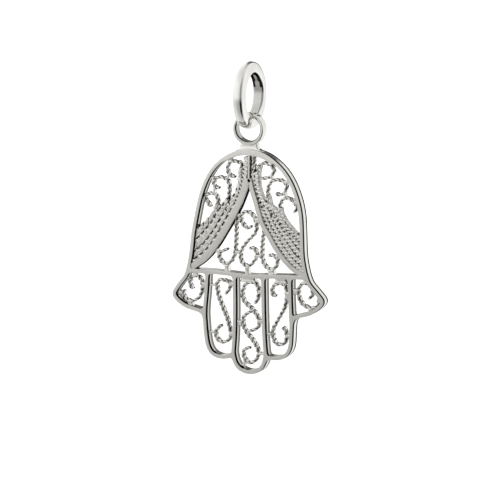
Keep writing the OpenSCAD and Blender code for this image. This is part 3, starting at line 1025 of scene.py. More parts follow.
@dataclass
class HandFrame:
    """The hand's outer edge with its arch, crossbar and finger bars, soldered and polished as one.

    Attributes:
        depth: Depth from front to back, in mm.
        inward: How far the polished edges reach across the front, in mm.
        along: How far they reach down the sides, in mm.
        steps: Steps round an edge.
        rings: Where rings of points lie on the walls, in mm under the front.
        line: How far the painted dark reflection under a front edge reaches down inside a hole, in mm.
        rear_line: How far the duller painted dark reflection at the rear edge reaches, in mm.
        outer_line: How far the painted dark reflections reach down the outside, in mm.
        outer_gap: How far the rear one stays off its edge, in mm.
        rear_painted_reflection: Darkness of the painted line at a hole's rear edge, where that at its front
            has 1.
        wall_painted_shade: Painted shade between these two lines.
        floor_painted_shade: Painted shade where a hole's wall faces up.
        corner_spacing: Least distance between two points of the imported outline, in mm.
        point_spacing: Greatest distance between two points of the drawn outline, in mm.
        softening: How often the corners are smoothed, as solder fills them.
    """

    depth: float = 1.4
    inward: float = 0.04
    along: float = 0.08
    steps: int = 4
    rings: tuple[float, ...] = (0.53, 0.45, 0.3, 0.15)
    line: float = 0.5
    rear_line: float = 0.6
    outer_line: float = 0.35
    outer_gap: float = 0.05
    rear_painted_reflection: float = 0.64
    wall_painted_shade: float = 0.15
    floor_painted_shade: float = 0.2
    corner_spacing: float = 0.06
    point_spacing: float = 0.24
    softening: int = 5

    def front_outline(self) -> bpy.types.Object:
        """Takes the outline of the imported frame's front, in mm and lying on the bench.

        Returns:
            A mesh of closed loops of edges at Z = 0, marked 0 round the outside and 1 round a hole.
        """
        pick_only(frame["nodes"]["hand"])
        bpy.ops.object.duplicate()
        outline = bpy.context.object
        outline.parent = None
        outline.matrix_world = (
            Matrix.Scale(1 / MM, 4)
            @ Matrix.Rotation(-math.pi / 2, 4, "X")
            @ Matrix.Translation((0, 0, -CROSSBAR_Z * MM))
        )
        bpy.ops.object.transform_apply(location=True, rotation=True, scale=True)
        front = self.depth / 2 - SLACK
        with editing(outline, Pick.FACES):
            bpy.ops.mesh.remove_doubles(threshold=SAME_PLACE)
            select_where(outline, lambda face: face.calc_center_median().z < front, Pick.FACES)
            bpy.ops.mesh.delete(type="FACE")
            select_where(outline, lambda edge: not edge.is_boundary, Pick.EDGES)
            bpy.ops.mesh.delete(type="EDGE")
            bpy.ops.mesh.select_all(action="SELECT")
            bpy.ops.mesh.remove_doubles(threshold=self.corner_spacing)
            bpy.ops.transform.translate(value=(0, 0, -self.depth / 2))
            while select_where(outline, lambda edge: edge.calc_length() > self.point_spacing, Pick.EDGES):
                bpy.ops.mesh.subdivide(number_cuts=1)
            bpy.ops.mesh.select_all(action="SELECT")
            bpy.ops.mesh.vertices_smooth(factor=0.5, repeat=self.softening, zaxis=False)
            widest = max(point.co.x for point in bmesh.from_edit_mesh(outline.data).verts)
            select_where(outline, lambda point: point.co.x > widest - SAME_PLACE, Pick.POINTS)
            bpy.ops.mesh.select_linked()
        darken(outline, lambda point, _: 0.0 if point.select else 1.0)
        return outline

    def build(self, finish: bpy.types.Material) -> bpy.types.Object:
        """Makes the frame.

        Args:
            finish: The silver's finish.

        Returns:
            The piece.
        """
        piece = self.front_outline()
        with editing(piece, Pick.EDGES):
            bpy.ops.mesh.fill(use_beauty=True)
            bpy.ops.mesh.select_all(action="SELECT")
            bpy.ops.mesh.normals_make_consistent(inside=False)
        self.turn_to_front(piece)
        with editing(piece, Pick.FACES):
            reached = self.depth / 2
            for ring in (*self.rings, self.along):
                bpy.ops.mesh.extrude_region_move(TRANSFORM_OT_translate={"value": (0, 0, reached - ring)})
                reached = ring
            inward, forward = 0.0, 0.0
            for step in range(1, self.steps + 1):
                angle = math.pi / 2 * step / self.steps
                new_inward = self.inward * (1 - math.cos(angle))
                new_forward = self.along * math.sin(angle)
                bpy.ops.mesh.inset(
                    thickness=new_inward - inward, depth=new_forward - forward, use_even_offset=True
                )
                inward, forward = new_inward, new_forward
        mirror_to_back(piece)
        # Painted dark reflections under the edges of the walls, and painted shade on the walls
        darken(piece, self.shade)
        close_up(piece)
        return hand_over(piece, "hand_frame", Body.HAND, finish, flat=True)

    def shade(self, point: bpy.types.MeshVertex, hole: float) -> float:
        """Says how dark the frame is painted: painted dark reflections just under the edges of its side
        walls, painted shade on the walls between.

        Args:
            point: A point of the frame.
            hole: 1 round a hole, 0 at the outer edge.

        Returns:
            The painted darkness, from 0 to 1.
        """
        # Painted dark reflection in lines under the front and rear edges; painted shade on the walls between
        # and where a wall faces up
        below = self.depth / 2 - abs(point.co.z)
        if below < SLACK:
            return 0
        sideways = facing(abs(point.normal.x))
        if not hole:
            return sideways * (below < self.outer_line and (point.co.z > 0 or below > self.outer_gap))
        reach, line = (self.line, 1) if point.co.z > 0 else (self.rear_line, self.rear_painted_reflection)
        side = line if below < reach else self.wall_painted_shade
        return max(sideways * side, facing(point.normal.y) * self.floor_painted_shade)

    @staticmethod
    def turn_to_front(piece: bpy.types.Object) -> None:
        """Turns the faces of a flat drawing towards the viewer.

        Args:
            piece: The mesh object on the bench.
        """
        if sum(face.normal.z * face.area for face in piece.data.polygons) < 0:
            with editing(piece):
                bpy.ops.mesh.flip_normals()


@dataclass
class Leaves:
    """The two leaves: smooth rails and a stem, plates between them, and rows of twisted wire.

    Attributes:
        rail_depth: Depth of the rails and the stem, in mm.
        left_width: Width of the left rail, in mm.
        right_width: Width of the right rail, in mm.
        stem_width: Width of the stem, in mm.
        inward: How far their rounded edges reach across their fronts, in mm.
        along: How far these edges reach down their sides, in mm.
        line_start: Where the painted dark reflection on the walls of the left rail and the stem starts, as a
            share of that.
        rail_line: Where it ends on the left rail. The right one has none.
        stem_line: Where it ends on the stem.
        plate_depth: Depth of the plates under the wires, in mm.
        left_row: The broad rolled wire of the left leaf's rows.
        right_row: The rolled wire of the right leaf's rows.
        border: The narrow rolled wire along the left rail.
        rise: How much higher than its stock the foremost row of a leaf lies, in mm.
        stagger: How much lower each further row lies, in mm.
    """

    rail_depth: float = 1.2
    left_width: float = 0.84
    right_width: float = 0.62
    stem_width: float = 0.36
    inward: float = 0.1
    along: float = 0.5
    line_start: float = 0.2
    rail_line: float = 1.45
    stem_line: float = 0.9
    plate_depth: float = 0.6
    left_row: RolledRow = RolledRow(width=0.86, pitch=0.85, notch=0.12, mouth=0.5, strips=6)
    right_row: RolledRow = RolledRow(width=0.57, pitch=0.47, notch=0.16, mouth=0.3, strips=3)
    border: RolledRow = RolledRow(width=0.42, pitch=0.85, notch=0.12, mouth=0.5, strips=3)
    rise: float = 0.04
    stagger: float = 0.02

    def rails(self, finish: bpy.types.Material) -> bpy.types.Object:
        """Makes the rails and the stem.

        Args:
            finish: The silver's finish.

        Returns:
            The piece.
        """
        parts = []
        for width, line, reach in (
            (self.left_width, LEFT_RAIL, self.rail_line),
            (self.stem_width, STEM, self.stem_line),
            (self.right_width, RIGHT_RAIL, 0),
        ):
            part = DrawnBand(width, self.rail_depth, self.inward, self.along).bend(line)
            # Painted dark reflection along the walls of the left rail and the stem
            darken(part, lambda point, _: self.shade(point, reach))
            parts.append(part)
        piece = join(parts)
        trim(piece)
        return hand_over(piece, "leaf_rails", Body.HAND, finish, flat=True)

    def shade(self, point: bpy.types.MeshVertex, reach: float) -> float:
        """Says where a rail or the stem is painted black: a painted dark reflection in a line along the front
        of its walls.

        Args:
            point: A point of it.
            reach: Where the line ends, as a share of the rounded edge's own reach.

        Returns:
            The painted darkness, 0 or 1.
        """
        below = (self.rail_depth / 2 - point.co.z) / self.along
        return 1 if self.line_start < below < reach and facing(abs(point.normal.x)) > 0 else 0

    def rows(self, finish: bpy.types.Material) -> list[bpy.types.Object]:
        """Lays the rolled wires of both leaves side by side.

        Args:
            finish: The silver's finish.

        Returns:
            The left leaf's piece and the right one's.
        """
        left, right = LEFT_LEAF_SCROLLS, RIGHT_LEAF_SCROLLS
        left_rows = (
            beside(left[0], left[1], 0.38, 0, 7) + left[0][7:11],
            beside(left[1], left[2], 0.35, 0, 5) + left[1][5:7],
            beside(left[2], LEFT_LEAF_TOP, 0.3, 0, 4) + left[2][4:6],
            beside(LEFT_LEAF_TOP, LEFT_RAIL, 0.12, 1, 10)[::-1],
        )
        border = beside(left[0], LEFT_RAIL, 0.17, 0, 7)
        filler = beside(left[0], LEFT_RAIL, 0.45, 6, 10) + ((-0.42, 12), (-0.36, 13.3))
        right_rows = (
            beside(RIGHT_LEAF_TOP, RIGHT_RAIL, 0.12, 1, 11)[::-1],
            beside(right[2], right[3], 0.85, 0, 4) + right[3][4:6],
            beside(right[2], right[3], 0.25, 0, 4) + right[2][5:7],
            beside(right[1], right[2], 0.65, 0, 6),
            beside(right[1], right[2], 0.1, 0, 7) + right[1][7:12],
            beside(right[0], right[1], 0.33, 0, 8) + right[0][8:12],
        )
        return [
            self.lay(
                "left_leaf_rows",
                [(self.border, overlong(border)), (self.right_row, filler)]
                + [(self.left_row, overlong(line)) for line in left_rows],
                finish,
            ),
            self.lay("right_leaf_rows", [(self.right_row, overlong(line)) for line in right_rows], finish),
        ]

    def lay(
        self, name: str, rows: Sequence[tuple[RolledRow, Line]], finish: bpy.types.Material
    ) -> bpy.types.Object:
        """Lays the rows of one leaf side by side, each a little over the next one.

        Args:
            name: The piece's name.
            rows: The stock and the middle line of each row, the foremost one first.
            finish: The silver's finish.

        Returns:
            The piece, painted black as shade where a row's notches let the row behind it show.
        """
        parts = []
        for number, (stock, line) in enumerate(rows):
            drop = self.stagger * number - self.rise
            part = stock.bend(line, drop)
            # The front reaches down past the valleys that cross it
            front = stock.depth / 2 - drop - stock.valley * 1.5
            over = rows[:number]
            # Painted shade: a row's front is black where the rows before it lie over it
            darken(
                part,
                lambda point, so_far: max(so_far, covered(point.co, over)) if point.co.z > front else so_far,
            )
            parts.append(part)
        piece = join(parts)
        trim(piece)
        return hand_over(piece, name, Body.HAND, finish, flat=True)

    def plates(self, finish: bpy.types.Material) -> bpy.types.Object:
        """Makes the plates that close the leaves behind their wires, dark with patina and painted shade.

        Args:
            finish: The silver's finish.

        Returns:
            The piece.
        """
        parts = []
        for top, rail in ((LEFT_LEAF_TOP, LEFT_RAIL), (RIGHT_LEAF_TOP, RIGHT_RAIL)):
            edges = [draw_line(overlong(top[::-1])), draw_line(overlong(rail[::-1]))]
            for edge in edges:
                pick_only(edge)
                bpy.ops.object.convert(target="MESH")
            plate = join(edges)
            with editing(plate, Pick.EDGES):
                bpy.ops.mesh.bridge_edge_loops()
                bpy.ops.mesh.select_all(action="SELECT")
                bpy.ops.transform.translate(value=(0, 0, -self.plate_depth / 2))
                bpy.ops.mesh.extrude_region_move(
                    TRANSFORM_OT_translate={"value": (0, 0, self.plate_depth)}
                )
            close_up(plate)
            parts.append(plate)
        piece = join(parts)
        trim(piece)
        return hand_over(piece, "leaf_plates", Body.HAND, finish)


def overlong(line: Line, length: float = 0.9) -> Line:
    """Starts a line a little earlier, so that what is bent along it can be trimmed at the frame.

    Args:
        line: The line, from the frame inwards.
        length: How much earlier it starts, in mm.

    Returns:
        The longer line.
    """
    first, second = Vector(line[0]), Vector(line[1])
    return (tuple(first + (first - second).normalized() * length),) + line[1:]


def trim(piece: bpy.types.Object) -> None:
    """Saws off what reaches past the middle of the frame's band to the left and to the right.

    Args:
        piece: The mesh object on the bench.
    """
    for lower, upper, outward in ((*LEFT_CUT, -1), (*RIGHT_CUT, 1)):
        across = Vector((upper[1] - lower[1], lower[0] - upper[0], 0)) * outward
        with editing(piece):
            bpy.ops.mesh.bisect(
                plane_co=(*lower, 0), plane_no=across.normalized(), clear_outer=True, use_fill=True
            )


def nearest(place: Vector, line: Line) -> Vector:
    """Gives the point of a line that lies nearest to a place on the bench.

    Args:
        place: The place.
        line: The line.

    Returns:
        The point.
    """
    hits = []
    for near, far in zip(map(Vector, line), map(Vector, line[1:])):
        run = intersect_point_line(place, near, far)[1]
        hits.append(near.lerp(far, held(run)))
    return min(hits, key=lambda hit: (hit - place).length)


def covered(
    place: Vector, rows: Sequence[tuple[RolledRow, Line]], early: float = 0.05, fade: float = 0.08
) -> float:
    """Says whether rows lie over a place, from 0 for none to 1 for well under one of them.

    Args:
        place: The place on the bench.
        rows: The stock and the middle line of each row.
        early: How far beside a row the cover starts, in mm.
        fade: Over what distance it becomes full, in mm.

    Returns:
        The share of cover.
    """
    flat = place.to_2d()
    reach = [stock.width / 2 - (flat - nearest(flat, line)).length for stock, line in rows]
    return held((max(reach, default=-early) + early) / fade)


def beside(first: Line, second: Line, share: float, start: int = 0, end: int | None = None) -> Line:
    """Draws a line between two neighbouring ones.

    Args:
        first: The one line.
        second: The line beside it.
        share: Share of the way to the second line.
        start: First point of the first line that is used.
        end: The point of the first line that is the first one left out.

    Returns:
        The line between them.
    """
    places = [Vector(point) for point in first[start:end]]
    return tuple(tuple(place.lerp(nearest(place, second), share)) for place in places)


@dataclass
class Scrolls:
    """The curled wires of the hand, each group bent from one stock of twisted wire.

    Attributes:
        wire: The twisted wire.
    """

    wire: TwistedWire

    def build(self, name: str, lines: Sequence[Line], finish: bpy.types.Material) -> bpy.types.Object:
        """Bends one group of scrolls.

        Args:
            name: The piece's name.
            lines: The middle line of each scroll.
            finish: The silver's finish.

        Returns:
            The piece.
        """
        piece = join([bend_stock(line, self.wire.stock) for line in lines])
        return hand_over(piece, name, Body.HAND, finish, smooth=80)


@dataclass
class SolderJoints:
    """The solder that joins the scrolls to the frame and to each other.

    Attributes:
        depth: Depth of a joint from front to back, in mm.
        waists: How far from its middle a joint of unit length is squeezed, to which width and depth.
    """

    depth: float = 0.76
    waists: tuple[tuple[float, float, float], ...] = ((0.3, 0.72, 0.94), (0.1, 0.9, 0.97))

    def joint(self) -> bpy.types.Object:
        """Models one joint of unit length, width and depth, flared at both ends, along X.

        Returns:
            The mesh object.
        """
        bpy.ops.mesh.primitive_cube_add(size=1)
        joint = bpy.context.object
        with editing(joint, Pick.FACES):
            bpy.ops.mesh.subdivide(number_cuts=3)
            for reach, width, depth in self.waists:
                select_where(joint, lambda point: abs(point.co.x) < reach, Pick.POINTS)
                bpy.ops.transform.resize(value=(1, width, depth), center_override=(0, 0, 0))
        modify(joint, "SUBSURF", levels=1, render_levels=1)
        return joint

    def build(self, finish: bpy.types.Material) -> bpy.types.Object:
        """Copies the joint to each place in the table.

        Args:
            finish: The silver's finish.

        Returns:
            The piece.
        """
        pattern = self.joint()
        joints = []
        for x1, y1, x2, y2, width in SOLDER:
            pick_only(pattern)
            bpy.ops.object.duplicate()
            joint = bpy.context.object
            start, end = Vector((x1, y1, 0)), Vector((x2, y2, 0))
            run = end - start
            joint.matrix_world = (
                Matrix.Translation((start + end) / 2)
                @ Matrix.Rotation(math.atan2(run.y, run.x), 4, "Z")
                @ Matrix.Diagonal((run.length, width * SOLDER_SWELL, self.depth * SOLDER_SWELL, 1))
            )
            joints.append(joint)
        remove(pattern)
        pick_only(*joints)
        bpy.ops.object.transform_apply(location=True, rotation=True, scale=True)
        piece = join(joints)
        return hand_over(piece, "solder_joints", Body.HAND, finish, smooth=80)


@dataclass
class Ring:
    """The ring on the arch and the solder foot that holds it.

    Attributes:
        inner_radius: Radius of the ring's hole, in mm.
        wall: Thickness of its band at the top, in mm.
        thicker: How much thicker the band is at the foot, in mm.
        seat: How far the ring's middle lies under the top of the hand's solid, in mm.
        depth: Depth of its band from front to back, in mm.
        inward: How far the band's rounded edges reach across its front, in mm.
        along: How far they reach down its sides, in mm.
        steps: Steps round it.
        line: Where the painted dark reflection under each edge of its hole starts and ends, in mm.
        hole_painted_shade: Painted shade of the hole apart from these lines.
        unpainted_above: Height over the ring's middle above which the hole is not painted dark, in mm.
        arch_height: Height of the arch's top above the crossbar's lower edge, in mm.
        foot_depth: Depth of the foot, in mm.
        foot_width: Width of the foot at the arch, in mm.
        neck_width: Width of the foot at the ring, in mm.
        sunk: How deep the foot reaches into the arch, in mm.
        lap: How far it reaches into the ring's band, as a share of the band's thickness.
        swell: How much of its height is fuller, and how much wider and deeper that is.
    """

    inner_radius: float = 1.44
    wall: float = 0.4
    thicker: float = 0.1
    seat: float = 1.8
    depth: float = 1.2
    inward: float = 0.16
    along: float = 0.24
    steps: int = 96
    line: tuple[float, float] = (0.03, 0.13)
    hole_painted_shade: float = 0.3
    unpainted_above: float = 0.5
    arch_height: float = 14.3
    foot_depth: float = 0.85
    foot_width: float = 3.3
    neck_width: float = 2.1
    sunk: float = 0.4
    lap: float = 0.3
    swell: tuple[float, float, float] = (0.3, 1.15, 1.1)

    def band(self) -> bpy.types.Object:
        """Spins the ring's band round its middle and lifts it to its place on the bench.

        Returns:
            The mesh object.
        """
        band = DrawnBand(self.wall, self.depth, self.inward, self.along).section()
        with editing(band):
            bpy.ops.transform.rotate(value=math.pi / 2, orient_axis="X", center_override=(0, 0, 0))
            bpy.ops.transform.translate(value=(self.inner_radius + self.wall / 2, 0, 0))
            bpy.ops.mesh.spin(steps=self.steps, angle=math.tau, center=(0, 0, 0), axis=(0, 0, 1))
            bpy.ops.mesh.select_all(action="SELECT")
        close_up(band)
        # Painted shade and painted dark reflections inside the hole
        darken(band, self.shade)
        with editing(band):
            select_where(band, lambda point: self.in_hole(point.co), Pick.POINTS)
            narrow = 1 - self.thicker / 2 / self.inner_radius
            bpy.ops.transform.resize(value=(narrow, narrow, 1), center_override=(0, 0, 0))
            bpy.ops.transform.translate(value=(0, self.thicker / 2, 0))
            bpy.ops.mesh.select_all(action="SELECT")
            bpy.ops.transform.translate(value=(0, self.middle(), 0))
        return band

    def middle(self) -> float:
        """Gives the height of the ring's middle on the bench, in mm."""
        return RING_TOP - CROSSBAR_Z - self.seat

    def in_hole(self, place: Vector) -> bool:
        """Says whether a place on the band, with its middle at the origin, faces the ring's hole."""
        return math.hypot(place.x, place.y) < self.inner_radius + self.wall / 2

    def shade(self, point: bpy.types.MeshVertex, _: float) -> float:
        """Says how dark the band is painted: painted shade and painted dark reflections inside the hole,
        below the height left unpainted.

        Args:
            point: A point of the band, with its middle at the origin.
            _: Its painted darkness so far, which isn't needed.

        Returns:
            The painted darkness, from 0 to 1.
        """
        if point.co.y > self.unpainted_above or not self.in_hole(point.co):
            return 0
        start, end = self.line
        return 1 if start < self.depth / 2 - abs(point.co.z) < end else self.hole_painted_shade

    def foot(self) -> bpy.types.Object:
        """Shapes the foot from a block: wide at the arch, narrow at the ring, hollow at the sides.

        Returns:
            The mesh object.
        """
        base = self.arch_height - self.sunk
        top = self.middle() - self.inner_radius - self.wall * self.lap
        bpy.ops.mesh.primitive_cube_add(size=1, location=(0, (base + top) / 2, 0))
        foot = bpy.context.object
        bpy.ops.object.transform_apply(location=True, rotation=False, scale=False)
        with editing(foot):
            bpy.ops.transform.resize(value=(self.neck_width, top - base, self.foot_depth))
            bpy.ops.mesh.subdivide(number_cuts=3)
            select_where(foot, lambda point: point.co.y < base + SLACK, Pick.POINTS)
            bpy.ops.transform.resize(value=(self.foot_width / self.neck_width, 1, 1))
            share, wider, deeper = self.swell
            select_where(foot, lambda point: point.co.y < base + (top - base) * share, Pick.POINTS)
            bpy.ops.transform.resize(value=(wider, 1, deeper))
        modify(foot, "SUBSURF", levels=2, render_levels=2)
        darken(foot, lambda point, _: 0)
        return foot

    def build(self, finish: bpy.types.Material) -> bpy.types.Object:
        """Makes the ring with its foot and returns the piece."""
        piece = join([self.band(), self.foot()])
        return hand_over(piece, "ring", Body.HAND, finish, flat=True)


@dataclass
class Bail:
    """The heavy round loop that hangs on a chain: flat inside, domed outside.

    Attributes:
        thickness: Thickness of the band, in mm.
        inner_rounding: Radius of the band's inner edges, in mm.
        outer_rounding: Reach of the rounding of its outer edges across the outside, in mm.
        outer_reach: How far this rounding reaches towards the hole, in mm.
        crown: Rise of the outside's middle over its shoulders, in mm.
        steps: Steps round it.
        edge_steps: Steps round an inner edge and round an outer one.
        cuts: Cuts across its flat inside and across its outside.
        dome: Half widths on the flat outside as shares of it, and how much of the crown each adds.
        roof_start: Degrees above the hole's middle, in front and behind, at which the painted black shade of
            its roof starts.
        roof_middle: Half width of the roof's paler middle where it starts, as a share of the band.
        roof_narrowing: How much of that is lost with each degree upwards.
        hole_painted_shade: Painted shade of the hole, apart from its roof, at the height of its middle.
        upward: How much more that is at the top, and how much less at the bottom.
        limits: The least and the most of it.
        reach: How far the painted shade reaches into the rounding of the inner edges, in mm.
    """

    thickness: float = 1.27
    inner_rounding: float = 0.27
    outer_rounding: float = 0.42
    outer_reach: float = 0.68
    crown: float = 0.04
    steps: int = 144
    edge_steps: tuple[int, int] = (5, 8)
    cuts: tuple[int, int] = (7, 5)
    dome: tuple[tuple[float, float], ...] = ((0.7, 0.56), (0.4, 0.33), (0.1, 0.11))
    roof_start: float = 14
    roof_middle: float = 0.2
    roof_narrowing: float = 0.003
    hole_painted_shade: float = 0.36
    upward: float = 0.2
    limits: tuple[float, float] = (0.24, 0.54)
    reach: float = 0.02

    def build(self, finish: bpy.types.Material) -> bpy.types.Object:
        """Spins the bail's band round its axis.

        Args:
            finish: The silver's finish.

        Returns:
            The piece.
        """
        inner = BAIL_RADIUS - self.thickness
        bpy.ops.mesh.primitive_plane_add(size=1)
        piece = bpy.context.object
        with editing(piece):
            squeeze = self.outer_rounding / self.outer_reach
            bpy.ops.transform.resize(value=(BAIL_WIDTH, (self.thickness - self.crown) * squeeze, 1))
            select_where(piece, lambda point: point.co.y > 0, Pick.POINTS)
            round_corners(self.outer_rounding, self.edge_steps[1])
            bpy.ops.mesh.select_all(action="SELECT")
            bpy.ops.transform.resize(value=(1, 1 / squeeze, 1), center_override=(0, 0, 0))
            bpy.ops.transform.translate(value=(0, inner + (self.thickness - self.crown) / 2, 0))
            select_where(piece, lambda point: point.co.y < inner + SLACK, Pick.POINTS)
            round_corners(self.inner_rounding, self.edge_steps[0])
            bpy.ops.mesh.select_all(action="SELECT")
            bpy.ops.mesh.delete(type="ONLY_FACE")
            select_where(
                piece, lambda edge: all(point.co.y < inner + SLACK for point in edge.verts), Pick.EDGES
            )
            bpy.ops.mesh.subdivide(number_cuts=self.cuts[0])
            shoulder = inner + self.thickness - self.crown - SLACK
            select_where(
                piece, lambda edge: all(point.co.y > shoulder for point in edge.verts), Pick.EDGES
            )
            bpy.ops.mesh.subdivide(number_cuts=self.cuts[1])
            flat = BAIL_WIDTH / 2 - self.outer_rounding
            for reach, rise in self.dome:
                select_where(
                    piece,
                    lambda point: point.co.y > shoulder and abs(point.co.x) < flat * reach,
                    Pick.POINTS,
                )
                bpy.ops.transform.translate(value=(0, self.crown * rise, 0))
            bpy.ops.mesh.select_all(action="SELECT")
            bpy.ops.mesh.spin(steps=self.steps, angle=math.tau, center=(0, 0, 0), axis=(1, 0, 0))
        close_up(piece)
        # Painted shade inside the hole, black at its roof
        darken(piece, self.shade)
        return hand_over(piece, "heavy_bail", Body.BAIL, finish, flat=True, height=BAIL_Z)

    def shade(self, point: bpy.types.MeshVertex, _: float) -> float:
        """Says how dark the bail is painted: painted shade inside its hole, black at its roof, darker upwards
        and least at its bottom.

        Args:
            point: A point of the bail, with its middle at the origin.
            _: Its painted darkness so far, which isn't needed.

        Returns:
            The tarnish, from 0 to 1.
        """
        inner = BAIL_RADIUS - self.thickness
        if math.hypot(point.co.y, point.co.z) >= inner + self.reach:
            return 0
        lift = math.degrees(math.atan2(point.co.y, -point.co.z))
        past = min(lift, 180 - lift) - self.roof_start
        if past > 0 and abs(point.co.x) / BAIL_WIDTH > self.roof_middle - past * self.roof_narrowing:
            return 1
        return held(self.hole_painted_shade + point.co.y / inner * self.upward, *self.limits)


@dataclass(frozen=True)
class Softbox:
    """One soft light of the studio.

    Attributes:
        name: The light's name.
        place: Where it hangs, in metres.
        size: Its width and height, in metres.
        power: Its power in watts.
        aim: The point that it faces, in metres.
    """

    name: str
    place: tuple[float, float, float]
    size: tuple[float, float]
    power: float
    aim: tuple[float, float, float] = (0, 0, -0.017)

    def hang(self) -> None:
        """Adds the light."""
        bpy.ops.object.light_add(type="AREA", location=self.place)
        light = bpy.context.object
        light.name = self.name
        light.data.shape = "RECTANGLE"
        light.data.size, light.data.size_y = self.size
        light.data.energy = self.power
        light.rotation_mode = "QUATERNION"
        light.rotation_quaternion = (Vector(self.aim) - Vector(self.place)).to_track_quat("-Z", "Y")


@dataclass
class Studio:
    """The pale floor, the soft lights and the tent that the polished silver mirrors.

    Attributes:
        floor_height: Height of the floor, in metres.
        floor_size: Width of the floor, in metres.
        surround: Brightness of the room.
        tent_radius: Radius of the tent, in metres.
        tent_height: Height of the tent, in metres.
        tent_gap: How far its bottom lies over the floor, in metres.
        tent_cuts: Cuts across its top, its bottom and its side.
        tent_steps: Steps round it.
        overhead: Brightness of the tent's top over the pendant.
        overhead_fade: Power with which it goes over into the sides' brightness, 1 for evenly.
        underneath: Brightness of the tent's bottom under the pendant.
        underneath_reach: Distance from the bottom's middle over which it goes over, as a share of the radius.
        low: The brightness of the tent's lower part at azimuths in degrees from the front towards +X.
        high: The same for its upper part.
        fade: Heights between which the lower part goes over into the upper one, in metres.
    """

    floor_height: float = -0.06
    floor_size: float = 6.0
    surround: float = 0.4
    tent_radius: float = 0.16
    tent_height: float = 0.18
    tent_gap: float = 0.001
    tent_cuts: int = 12
    tent_steps: int = 180
    overhead: float = 0.7
    overhead_fade: float = 0.8
    underneath: float = 0.6
    underneath_reach: float = 0.3
    low: tuple[tuple[float, float], ...] = (
        (-138, 0.7), (-100, 0.85), (-60, 0.78), (-42, 0.65), (-22, 0.48), (-2, 0.42), (8, 0.35),
        (12, 0.01), (75, 0.01), (85, 0.6), (110, 1.0), (150, 1.0), (185, 0.85), (222, 0.7),
    )
    high: tuple[tuple[float, float], ...] = (
        (-155, 0.95), (-100, 1.0), (-60, 1.0), (-22, 0.95), (-2, 0.85), (10, 0.6), (18, 0.3), (60, 0.3),
        (75, 0.6), (110, 0.95), (150, 0.85), (172, 0.85), (178, 0.1), (201, 0.1), (205, 0.95),
    )
    fade: tuple[float, float] = (-0.05, -0.008)

    def floor(self) -> None:
        """Lays the pale floor."""
        bpy.ops.mesh.primitive_plane_add(size=self.floor_size, location=(0, 0, self.floor_height))
        floor = bpy.context.object
        floor.name = "floor"
        bpy.ops.object.transform_apply(location=True, rotation=False, scale=False)
        shading = Shading("pale_floor")
        place = shading.add("ShaderNodeTexCoord").outputs["Object"]
        mottle = shading.between(shading.noise(place, 3, 3), 0.3, 0.7, 0, 1)
        colour = shading.mix(mottle, (0.86, 0.86, 0.86), (0.88, 0.88, 0.88))
        paint = shading.add("ShaderNodeBsdfPrincipled", {"Base Color": colour, "Roughness": 0.9})
        shading.add("ShaderNodeOutputMaterial", {"Surface": paint.outputs["BSDF"]})
        floor.data.materials.append(shading.material)

    def tent(self) -> None:
        """Sets up the tent, a closed drum round the pendant that is seen only in its reflections."""
        bpy.ops.mesh.primitive_plane_add(size=1)
        tent = bpy.context.object
        tent.name = "light_tent"
        with editing(tent):
            bpy.ops.mesh.delete(type="ONLY_FACE")
            select_where(tent, lambda edge: max(point.co.x for point in edge.verts) < 0, Pick.EDGES)
            bpy.ops.mesh.delete(type="EDGE_FACE")
            bpy.ops.mesh.select_all(action="SELECT")
            bpy.ops.transform.translate(value=(0.5, 0, 0))
            bpy.ops.transform.rotate(value=math.pi / 2, orient_axis="X", center_override=(0, 0, 0))
            bpy.ops.transform.resize(
                value=(self.tent_radius, 1, self.tent_height), center_override=(0, 0, 0)
            )
            middle = self.floor_height + self.tent_gap + self.tent_height / 2
            bpy.ops.transform.translate(value=(0, 0, middle))
            bpy.ops.mesh.subdivide(number_cuts=self.tent_cuts)
            bpy.ops.mesh.spin(steps=self.tent_steps, angle=math.tau, center=(0, 0, 0), axis=(0, 0, 1))
            bpy.ops.mesh.select_all(action="SELECT")
            bpy.ops.mesh.remove_doubles(threshold=0.0001)
        self.light_up(tent)

    def glow(self, place: Vector) -> float:
        """Gives the tent's brightness at a place: its side's, blended to its top's or its bottom's.

        Args:
            place: The place on the tent, in metres.

        Returns:
            The brightness.
        """
        azimuth = math.degrees(math.atan2(place.x, -place.y))
        start, end = self.fade
        rise = held((place.z - start) / (end - start))
        side = self.brightness(self.low, azimuth) * (1 - rise) + self.brightness(self.high, azimuth) * rise
        inward = max(1 - math.hypot(place.x, place.y) / self.tent_radius, 0)
        if place.z < 0:
            reach = self.underneath_reach
            return side + (self.underneath - side) * max(inward - (1 - reach), 0) / reach
        return side + (self.overhead - side) * inward**self.overhead_fade

    @staticmethod
    def brightness(stops: Sequence[tuple[float, float]], azimuth: float) -> float:
        """Reads the brightness at an azimuth from its stops.

        Args:
            stops: Azimuths in degrees, rising, with the brightness at each.
            azimuth: The azimuth in degrees.

        Returns:
            The brightness.
        """
        while azimuth < stops[0][0]:
            azimuth += 360
        for (left, start), (right, end) in zip(stops, stops[1:]):
            if left <= azimuth <= right:
                return start + (end - start) * (azimuth - left) / (right - left)
        return stops[-1][1]

    def light_up(self, tent: bpy.types.Object) -> None:
        """Gives the tent its brightness and hides it from all but reflections.

        Args:
            tent: The tent.
        """
        pick_only(tent)
        bpy.ops.geometry.color_attribute_add(name=GLOW, domain="POINT", data_type="FLOAT_COLOR")
        for point, mark in zip(tent.data.vertices, tent.data.attributes[GLOW].data):
            level = self.glow(point.co)
            mark.color = (level, level, level, 1)
        shading = Shading(tent.name)
        level = shading.add("ShaderNodeAttribute", attribute_name=GLOW).outputs["Fac"]
        light = shading.add("ShaderNodeEmission", {"Color": (1, 1, 1, 1), "Strength": level})
        shading.add("ShaderNodeOutputMaterial", {"Surface": light.outputs[0]})
        tent.data.materials.append(shading.material)
        tent.visible_camera = tent.visible_diffuse = tent.visible_shadow = False

